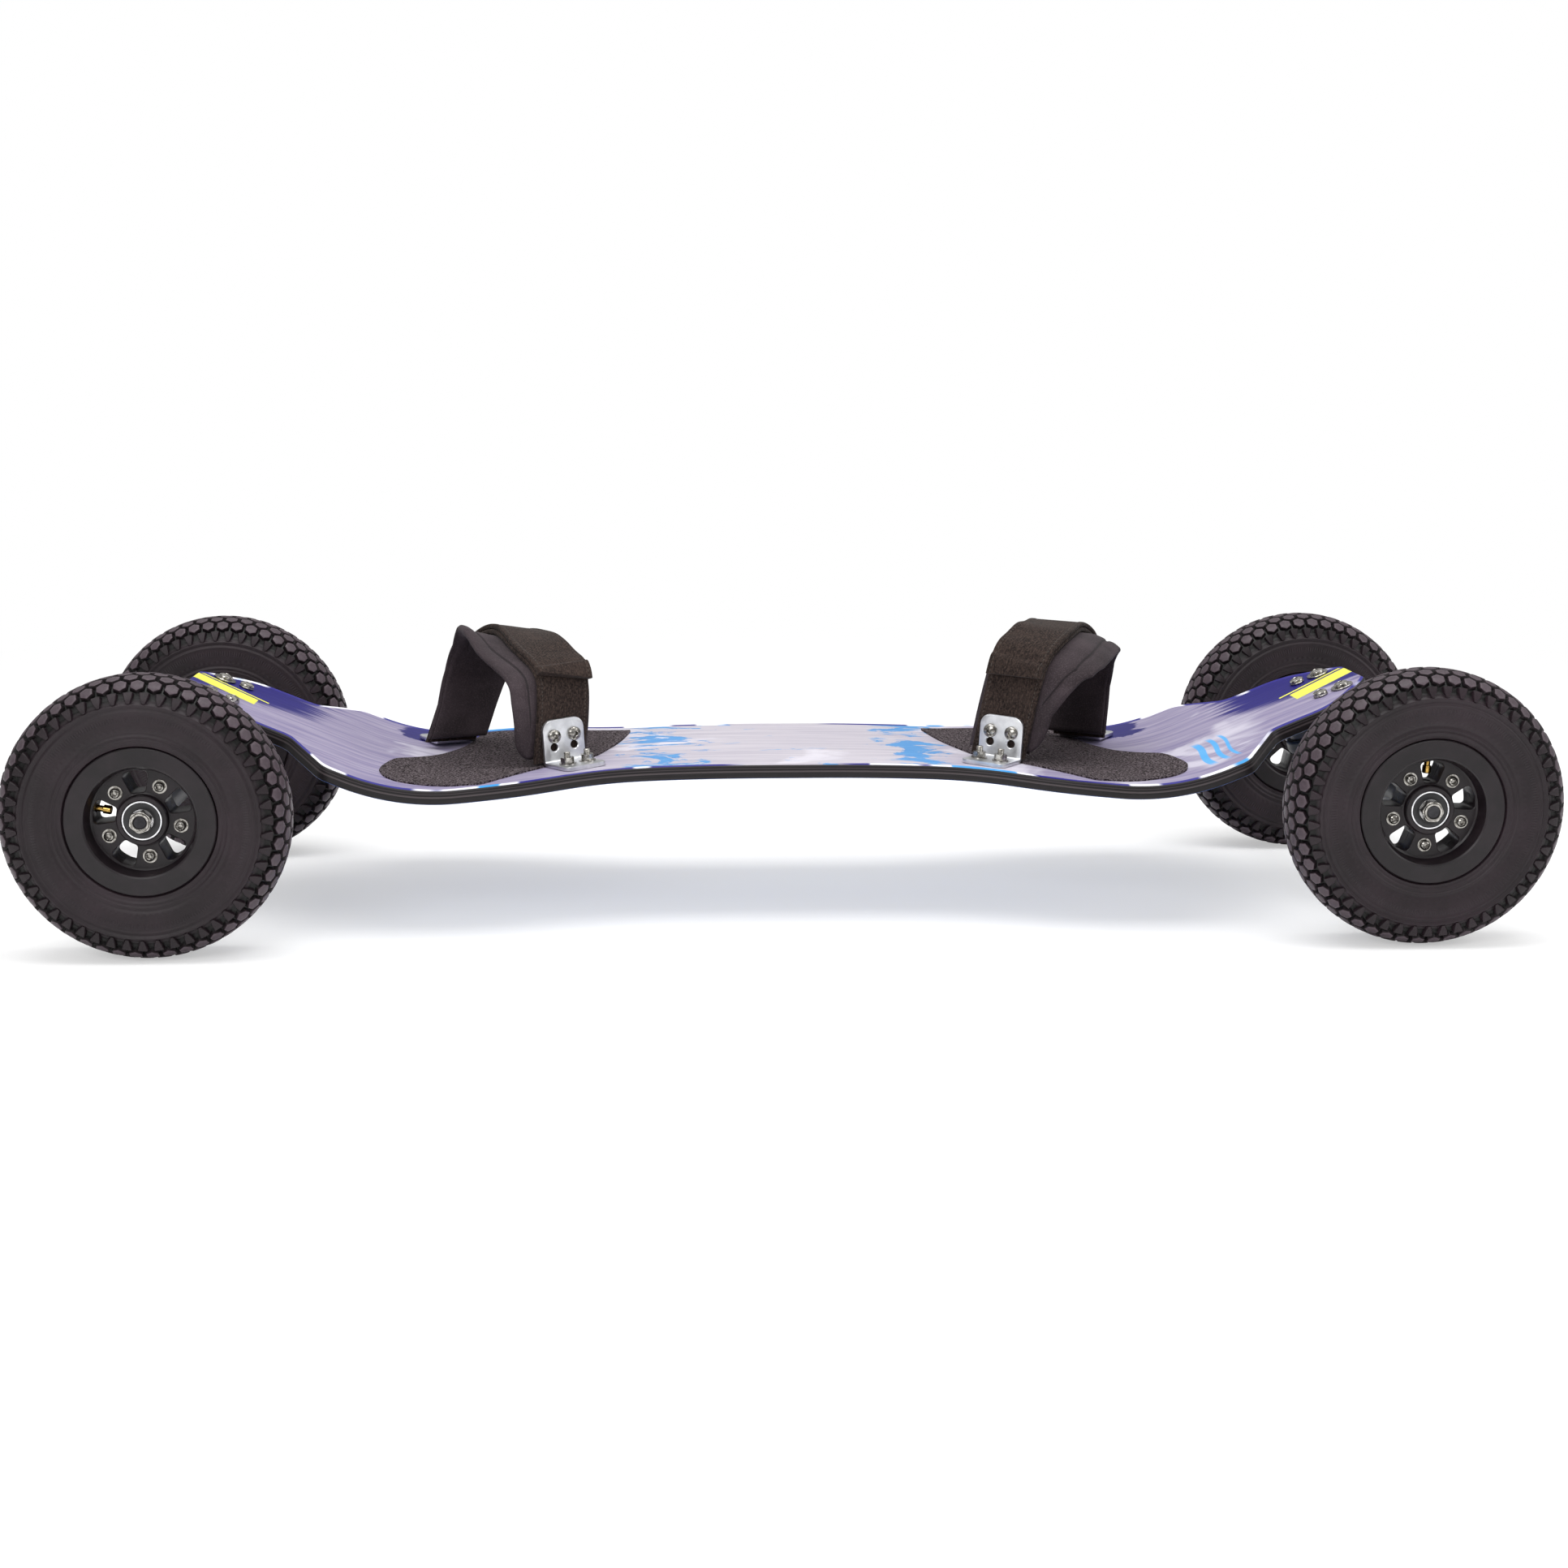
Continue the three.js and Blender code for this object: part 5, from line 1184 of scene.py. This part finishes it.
def kingpinNutShell():
    # cup washer under the lower bushing, nut and its collar
    shell = Shell()
    cup = [(5.4, 12.7), (11.0, 12.5), (12.6, 13.2), (13.0, 14.4), (12.6, 14.9), (11.2, 13.9), (5.4, 13.9)]
    shell.add(turnedShell(cup, 64), kingpinFrame)
    nutPlace = kingpinFrame @ moveBy(0, 0, 12.4) @ turnAbout("x", 180) @ turnAbout("z", 19)
    shell.add(nutShell(9.2, 7.0, 5.2), nutPlace)
    collar = turnedShell([(5.2, 0), (8.0, 0), (7.6, 1.3), (6.3, 2.2), (5.2, 2.2)], 48)
    shell.add(collar, kingpinFrame @ moveBy(0, 0, 5.5) @ turnAbout("x", 180))
    return shell


def pivotCupShell():
    start, end = 37.3, 48.2
    cup = [(0, end),(7.3, end), (7.9, end - 0.6), (7.9, start + 0.4), (7.5, start), (6.1, start),
           (5.8, start + 0.3), (5.8, end - 1.8), (0, end - 1.8)]
    lip = [(6.0, start - 1.6),(8.6, start - 1.6), (9.2, start - 1.0), (9.2, start - 0.5),
           (6.0, start - 0.4)]
    return Shell().add(solid(cup, 64), leanFrame).add(turnedShell(lip, 64), leanFrame)


def axleShell():
    shell = Shell().add(rodShell(4.8, -166, 166), alongY)
    for side in (-1, 1):
        shell.add(threadShell(4.8, 165.5, 189.4, 1.2), turnAbout("x", -90 * side))
    return shell


baseMesh, armMesh = baseplateMesh(), hangerMesh()
for end, side in (("tail", -1), ("nose", 1)):
    spot, ride = axleFrame(side) @ turnAbout("y", -deckSizes["kick"]), f"truck_{end}"
    base = placed(baseMesh, f"base_{end}", spot, sharp=45)
    addPiece(f"base_casting_{end}", base, ["cast"], "board", [f"baseplate_{end}"])
    addPiece(f"base_bolts_{end}", truckBoltShell(), ["zinc"], "board", (), at=spot)
    addPiece(f"king_bolt_{end}", kingpinShell(), ["zinc"], "board", [f"kingpin_{end}"], at=spot)
    nut, names = kingpinNutShell(), [f"kingpin_nut_{end}"]
    addPiece(f"king_nut_{end}", nut, ["zinc"], "board", names, at=spot)
    addPiece(f"seat_cup_{end}", pivotCupShell(), ["cup"], "board", [f"pivot_cup_{end}"], at=spot)
    arm = placed(armMesh, f"hanger_{end}", spot, sharp=45)
    addPiece(f"hanger_casting_{end}", arm, ["cast"], ride, [f"hanger_{end}"])
    addPiece(f"axle_rod_{end}", axleShell(), ["axle"], ride, [f"axle_{end}"], at=spot)
    for word, low, high in (("upper", 37.2, 49.6), ("lower", 14.6, 27.0)):
        rubber, name = bushingShell(low, high), f"bushing_{word}_{end}"
        piece = addPiece(f"{word}_rubber_{end}", rubber, ["bushing"], None, [name], at=spot)
        kingpinEnd, ringEnd = (high, low) if word == "upper" else (low, high)
        places = [spots(truckSizes["kingpin"], 0, z) for z in (kingpinEnd, ringEnd)]
        ends = [carried(spot, place) / 1000 for place in places]
        tuple(ends[0])
        tuple(ends[1])
        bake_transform(piece)
print("trucks made")


# Wheels, turned about Z with the outer side up, and then laid along Y

wheelSizes = {
    "knobs": 51, "rowPitch": 10.5, "knobLong": 12.2, "depth": 3.3, "across": 165.0, "phases": {
        ("tail", -1): 24, ("tail", 1): 170, ("nose", -1): 87, ("nose", 1): 12},
}
crownLine = np.array([
    (0, 100),(5, 99.75), (10, 99.2), (16, 97.5), (21, 94.7), (24.5, 91.2), (26.6, 87), (27.35, 82),
    (27.5, 78), (27.4, 74), (27.0, 69), (26.2, 64), (25.2, 60), (24.6, 57), (24.4, 54.5)], dtype=float)


def crownWalk():
    # the tyre's half section by the length walked over it from the tread's middle
    length = np.concatenate([[0], np.cumsum(np.linalg.norm(np.diff(crownLine, axis=0), axis=1))])
    walkAt = np.linspace(0, length[-1], 400)
    line = np.stack([np.interp(walkAt, length, crownLine[:, k]) for k in (0, 1)], -1)
    kernel = np.hanning(41) / np.hanning(41).sum()
    beyond = line[-1] + (line[-1] - line[-2]) * np.arange(1, 41)[:, None]
    longer = np.concatenate([line[40:0:-1] * (-1, 1), line, beyond])
    return walkAt, np.stack([np.convolve(longer[:, k], kernel, "same") for k in (0, 1)], -1)[40:440]


crownAt, crownPlace = crownWalk()


def treadPlace(walkLength, angle, height):
    # a place over the tyre's skin by its signed length from the middle, angle and height above the skin
    far, side = np.abs(walkLength), np.sign(walkLength) + (walkLength == 0)
    w, r = (np.interp(far, crownAt, crownPlace[:, k]) for k in (0, 1))
    ahead = [np.interp(far + 0.4, crownAt, crownPlace[:, k]) for k in (0, 1)]
    behind = [np.interp(far - 0.4, crownAt, crownPlace[:, k]) for k in (0, 1)]
    run = np.stack([ahead[0] - behind[0], ahead[1] - behind[1]])
    run = run / (np.hypot(*run) + 1e-9)
    run[1] = np.where(far < 0.4, 0, run[1])
    run[0] = np.where(far < 0.4, 1, run[0])
    return onCircle(r + height * run[0], angle, side * (w - height * run[1]))


def knobShell():
    # one knob per place of a honeycomb: rings from its foot up to a crowned top
    s = wheelSizes
    corners = np.array([(0, 7.0), (6.1, 3.5), (6.1, -3.5), (0, -7.0), (-6.1, -3.5), (-6.1, 3.5)])
    shares = np.linspace(0, 1, 3)[:-1]
    edge = np.concatenate([a + (b - a) * shares[:, None] for a, b in zip(corners, np.roll(corners, -1, 0))])
    top = [(0.765, -0.7), (0.735, -0.2), (0.68, 0.0), (0.38, 0.05)]
    rings = [(0.96, -s["depth"] - 0.3), (0.84, -s["depth"] + 0.5), *top]
    # marks up each knob from its foot to its top: the rubber's colour paints shade where they are low and a
    # highlight where they are high
    heights = np.array([0, 0, 0.1, 0.4, 0.75, 0.85, 0.8, 0.8])[:, None]
    shell = Shell()
    angleStep = 2 * math.pi / s["knobs"]
    turns = np.arange(s["knobs"]) * angleStep
    for row in (-2, -1, 0, 1, 2):
        along, middle = row * s["rowPitch"], turns + 0.5 * (row % 2) * angleStep
        points = [treadPlace(along, middle, -s["depth"] - 0.35)[:, None]]
        for scale, height in rings:
            angle = middle[:, None] + edge[:, 0] * scale * angleStep / s["knobLong"]
            points.append(treadPlace(along + edge[:, 1] * scale, angle, height))
        points.append(treadPlace(along, middle, 0.03)[:, None])
        for knob in np.stack(np.broadcast_arrays(*points), 1):
            shell.grid(knob, closeColumns=True, mark=heights)
    # shoulder nubs: saw teeth that run onto the sidewall, between the outer rows
    start, stop = 27.6, 36.5
    foot = -s["depth"] - 0.3
    section = ((-1, foot), (-0.82, -0.35), (-0.7, 0), (0, 0.03), (0.7, 0), (0.82, -0.35), (1, foot))
    stations = ((0, 0.02, 0.0), (0.02, 0.36, 0.0), (0.5, 0.29, 0.0), (0.93, 0.12, -0.15), (1, 0.02, -0.2))
    for side in (-1, 1):
        points = []
        for t, half, height in stations:
            lines = []
            for offset, lift in section:
                angle = turns + 0.5 * angleStep + offset * half * angleStep
                sunk = s["depth"] if t in (0, 1) and lift > -1 else 0
                lines.append(treadPlace(side * (start + (stop - start) * t), angle, lift + height - sunk))
            points.append(np.stack(lines, 1))
        for nub in np.stack(points, 1):
            shell.grid(nub, closeColumns=True, mark=0.5).cap(nub[0]).cap(nub[-1])
    return shell


def tyreShell():
    # casing under the knobs, the sidewalls with their fine rings and ribs, and the beads
    s = wheelSizes
    shell = knobShell()
    angles = wholeTurn(240)
    parts = ((0, 30, 12), (31, 42.5, 34), (43.5, 56, 14), (56.6, crownAt[-1], 24))
    outer = np.concatenate([np.linspace(*part) for part in parts])
    skin = -s["depth"] * (1 - smoothStep(outer, 31, 38.5))
    ridge = 0.0
    radii = np.interp(outer, crownAt, crownPlace[:, 1])
    # raised and sunk rings on the sidewall: radius, height and width
    rings = ((82.0, 0.9, 0.9), (79.2, -0.6, 0.9), (77.2, 0.35, 0.7), (62.0, -0.35, 0.9), (59.8, 0.8, 0.9),
             (57.0, 0.7, 1.0))
    for place, height, wide in rings:
        ridge = ridge + height * np.exp(-((radii - place) / wide) ** 2)
    lift = (skin + np.minimum(ridge, 0.75) - 0.6 * smoothStep(outer, 33, 36))[:, None]
    half = [treadPlace(side * outer[:, None], angles, lift) for side in (1, -1)]
    flat = spots(np.append(angles, 2 * math.pi), outer[:, None] / 1000)
    # mark 0 on the casing between the knobs, where the rubber's colour paints shade, rising to 0.5 on the
    # sidewall
    mark = 0.5 * smoothStep(outer, 31, 36)[:, None]
    for part in half:
        shell.grid(part, flat, closeColumns=True, mark=mark)
    # bead and the inside, down to the rim and back up to the casing's inner face
    inner = [(24.0, 53.2),(22.5, 52.4), (20.2, 51.6), (19.6, 50.5), (19.5, 46.6), (17.0, 46.4),
             (15.8, 50), (20.5, 60), (22.3, 72), (20.5, 82), (14, 89.5), (0, 92.5)]
    for side, part in zip((1, -1), half):
        lines = [part[-1]] + [onCircle(radius, angles, side * width) for width, radius in inner]
        shell.grid(np.stack(lines), closeColumns=True, mark=0.5)
    return shell


def tubeShell():
    # inner tube: a ring whose section is narrower on the hub's side
    turn = wholeTurn(40)
    w = 19.4 * np.sin(turn)
    r = 67.5 + 20.5 * np.cos(turn)
    r = np.where(r < 60, 60 - (60 - r) * 1.02, r)
    w = np.where(r < 60, w * (1 - 0.45 * clamped((60 - r) / 14)), w)
    return turnedShell(list(zip(r, w)), 160)


def valveShell():
    # stem through the rim into a window of the hub, with its cap
    place = moveBy(-47, 0, 0) @ turnAbout("y", 90)
    stem = [(0, 0), (3.0, 0), (3.0, 4), (2.6, 5), (2.6, 12.5), (2.2, 13), (2.2, 20), (1.8, 21), (0, 21)]
    cap = [(0, 17.5), (3.1, 17.5), (3.1, 22.3), (2.6, 23.0), (0, 23.0)]
    return Shell().add(solid(stem, 32), place).add(solid(cap, 24), place)


def hubMesh():
    # outer half of the hub: rim seat, flange, dish, spoke face and boss, with five windows
    profile = [
        (8.1, 0.15),(44.4, 0.15), (45.0, 0.75), (45.0, 19.2), (45.6, 19.9), (51.2, 19.9), (52.0, 20.7),
        (52.0, 23.2), (51.2, 24.0), (39.6, 24.0), (38.4, 23.3), (37.4, 21.0), (36.7, 15.0),
        (36.0, 12.8), (34.8, 12.0), (18.9, 12.0), (17.9, 12.5), (17.5, 13.4), (17.3, 16.8),
        (16.7, 17.4), (14.4, 17.4), (14.1, 17.1), (14.1, 7.7), (8.1, 7.7),
    ]
    mesh = meshOf("hub", turnedShell(profile, 240), 24)
    # a window by the radius, angle and rounding of its corners
    corners = ((19.4, -14.5, 2.0), (34.2, -16.0, 4.2), (34.9, 0, 0.0), (34.2, 16.0, 4.2), (19.4, 14.5, 2.0))
    corners = [(*onCircle(radius, math.radians(angle), 0)[:2], r) for radius, angle, r in corners]
    shape = roundedCorners(corners, steps=7)
    middle = shape.mean(0)
    levels = ((-3, 0), (11.2, 0), (11.7, 0.15), (12.05, 0.6), (14, 0.8))
    wider = [(middle + (shape - middle) * (1 + grow / 7.5), z) for z, grow in levels]
    window = Shell().tube([spots(*line.T, z) for line, z in wider])
    cutter = Shell()
    for k in range(5):
        cutter.add(window, turnAbout("z", 36 + 72 * k))
    hole = Shell().add(rodShell(3.5, 0, 30, 32), moveBy(-48, 0, 0) @ turnAbout("y", 90))
    return cutOut(cutOut(mesh, cutter), hole)


def hubBoltShell():
    # socket-head bolts on washers
    shell = Shell()
    for k in range(5):
        place = turnAbout("z", 72 * k) @ moveBy(26, 0, 12.0)
        shell.add(turnedShell([(2.5, 0), (4.9, 0), (4.9, 0.7), (2.5, 0.7)], 32), place)
        shell.add(boltShell(3.6, 3.6, hole=1.75), place @ moveBy(0, 0, 0.6) @ turnAbout("z", 23 * k))
    return shell


def bearingShells():
    # outer ring, seal and inner ring on the outer side
    rings = turnedShell([(12.7, 8.0), (13.6, 8.0), (13.9, 8.3), (13.9, 16.7), (13.6, 17.0), (12.7, 17.0)], 72)
    rings.add(turnedShell([(5.1, 8.0), (7.9, 8.0), (7.9, 17.0), (5.1, 17.0)], 72))
    seal = [(7.9, 8.4), (12.7, 8.4), (12.7, 16.5), (12.2, 16.7), (9.0, 16.7), (8.4, 16.45), (7.9, 16.45)]
    return rings, turnedShell(seal, 72)


def axleNutShell():
    shell = nutShell(8.1, 6.0, 4.9)
    shell.add(turnedShell([(4.9, 6.0), (6.7, 6.0), (6.2, 6.9), (5.4, 7.0), (4.9, 6.8)], 48))
    return Shell().add(shell, moveBy(0, 0, 17.3))


tyreMesh = meshOf("tyre", tyreShell(), 38)
hubHalfMesh = hubMesh()
print("tyre and hub shaped:", len(tyreMesh.polygons), "faces in the tyre")
for end, side in (("tail", -1), ("nose", 1)):
    for across in (-1, 1):
        word = "right" if across * side < 0 else "left"
        spot = axleFrame(side) @ moveBy(0, across * wheelSizes["across"], 0)
        spot = spot @ turnAbout("z", 180 if across < 0 else 0)
        spot = spot @ turnAbout("y", wheelSizes["phases"][end, across]) @ alongY
        tag, ride = f"{end}_{word}", f"wheel_{end}_{word}"
        flip = spot @ turnAbout("x", 180)
        tyre = placed(tyreMesh, f"tyre_{tag}", spot, sharp=38)
        addPiece(f"tread_{tag}", tyre, ["tyre"], ride, [f"tyre_{tag}"])
        addPiece(f"air_tube_{tag}", tubeShell(), ["tube"], ride, [f"inner_tube_{tag}"], at=spot)
        addPiece(f"valve_{tag}", valveShell(), ["brass"], ride, (), at=spot)
        for layer, place in (("outer", spot), ("inner", flip)):
            half = placed(hubHalfMesh, f"hub_{layer}_{tag}", place, sharp=24)
            addPiece(f"half_{layer}_{tag}", half, ["hub"], ride, [f"hub_{layer}_{tag}"])
            rings, seal = bearingShells()
            names = [f"bearing_{layer}_{tag}"]
            addPiece(f"race_{layer}_{tag}", rings, ["ring"], ride, names, at=place)
            addPiece(f"shield_{layer}_{tag}", seal, ["seal"], ride, (), at=place)
            addPiece(f"clamp_bolts_{layer}_{tag}", hubBoltShell(), ["steel"], ride, (), at=place)
        nut, names = axleNutShell(), [f"axle_nut_{tag}"]
        addPiece(f"lock_nut_{tag}", nut, ["zinc"], f"truck_{end}", names, at=spot)
print("wheels made")


# Stage: floor, light and camera

def floorPiece():
    # diffuse ground near the board that fades to plain white for the camera further out
    f = Finish("ground", Roughness=0.95, Base_Color="FFFFFF")
    x, y, _ = f.parts(f.places())
    far = ((x * x) + (y * y * 1.3)) ** 0.5
    fade = far.step(0.9, 1.9)
    seen = f.node("ShaderNodeLightPath", output=0)
    white = f.node("ShaderNodeEmission", values={"Color": "FFFFFF", "Strength": 1.0})
    mixed = f.node("ShaderNodeMixShader", values={0: (0.45 + fade * 0.55) * seen, 2: white})
    f.tree.links.new(f.shader.outputs[0], mixed.socket.node.inputs[1])
    f.tree.links.new(mixed.socket, f.tree.nodes["Material Output"].inputs[0])
    mesh = bpy.data.meshes.new("ground")
    mesh.from_pydata([(-60, -60, 0), (60, -60, 0), (60, 60, 0), (-60, 60, 0)], [], [(0, 1, 2, 3)])
    mesh.materials.append(f.material)
    newObject("ground", mesh)


def lightWorld():
    world = bpy.data.worlds.new("studio")
    world.use_nodes = True
    bpy.context.scene.world = world
    nodes, links = world.node_tree.nodes, world.node_tree.links
    back, path = nodes["Background"], nodes.new("ShaderNodeLightPath")
    white, blend = nodes.new("ShaderNodeBackground"), nodes.new("ShaderNodeMixShader")
    either = nodes.new("ShaderNodeMath")
    either.operation, either.use_clamp = "ADD", True
    links.new(path.outputs["Is Camera Ray"], either.inputs[0])
    links.new(path.outputs["Is Transmission Ray"], either.inputs[1])
    # other rays see a room that is darker near the ground
    direction, height = nodes.new("ShaderNodeTexCoord"), nodes.new("ShaderNodeSeparateXYZ")
    level = nodes.new("ShaderNodeMapRange")
    for socket, value in zip(("From Min", "From Max", "To Min", "To Max"), (0.0, 0.75, 0.22, 0.85)):
        level.inputs[socket].default_value = value
    links.new(direction.outputs["Generated"], height.inputs[0])
    links.new(height.outputs[2], level.inputs[0])
    links.new(level.outputs[0], back.inputs[1])
    back.inputs[0].default_value = (1, 1, 1, 1)
    white.inputs[0].default_value = (1, 1, 1, 1)
    white.inputs[1].default_value = 1.0
    links.new(either.outputs[0], blend.inputs[0])
    links.new(back.outputs[0], blend.inputs[1])
    links.new(white.outputs[0], blend.inputs[2])
    links.new(blend.outputs[0], nodes["World Output"].inputs[0])


def areaLight(name, place, aim, size, power):
    lamp = bpy.data.lights.new(name, "AREA")
    lamp.shape, lamp.size, lamp.size_y, lamp.energy = "RECTANGLE", size[0], size[1], power
    light = newObject(name, lamp)
    light.location = place
    direction = np.array(aim, dtype=float) - place
    light.rotation_euler = mathutils.Vector(direction).to_track_quat("-Z", "Y").to_euler()


def placeCamera():
    # fitted to the photograph: place, pitch, yaw and roll in radians, and the lens
    place, pitch, yaw, roll = (-0.10847, -1.75875, 0.42765), 0.1908, 0.0628, 0.0047
    ahead = np.array([math.sin(yaw) * math.cos(pitch), math.cos(yaw) * math.cos(pitch), -math.sin(pitch)])
    right = np.array([math.cos(yaw), -math.sin(yaw), 0.0])
    up = np.cross(right, ahead)
    right, up = math.cos(roll) * right + math.sin(roll) * up, math.cos(roll) * up - math.sin(roll) * right
    lens = bpy.data.cameras.new("view")
    lens.lens, lens.sensor_width = 53.04, 36.0
    camera = newObject("view", lens)
    matrix = mathutils.Matrix.Identity(4)
    for k, column in enumerate((right, up, -ahead, place)):
        for j in range(3):
            matrix[j][k] = column[j]
    camera.matrix_world = matrix
    bpy.context.scene.camera = camera


floorPiece()
lightWorld()
areaLight("overhead", (0.0, -0.3, 2.2), (0, 0, 0.1), (2.6, 1.2), 40)
areaLight("front", (-1.2, -2.6, 1.7), (0, 0, 0.15), (1.6, 1.0), 30)
areaLight("side", (2.4, -0.8, 1.3), (0, 0, 0.15), (1.0, 1.4), 14)
placeCamera()
bpy.context.scene.view_settings.view_transform = "Standard"

print("scene ready")
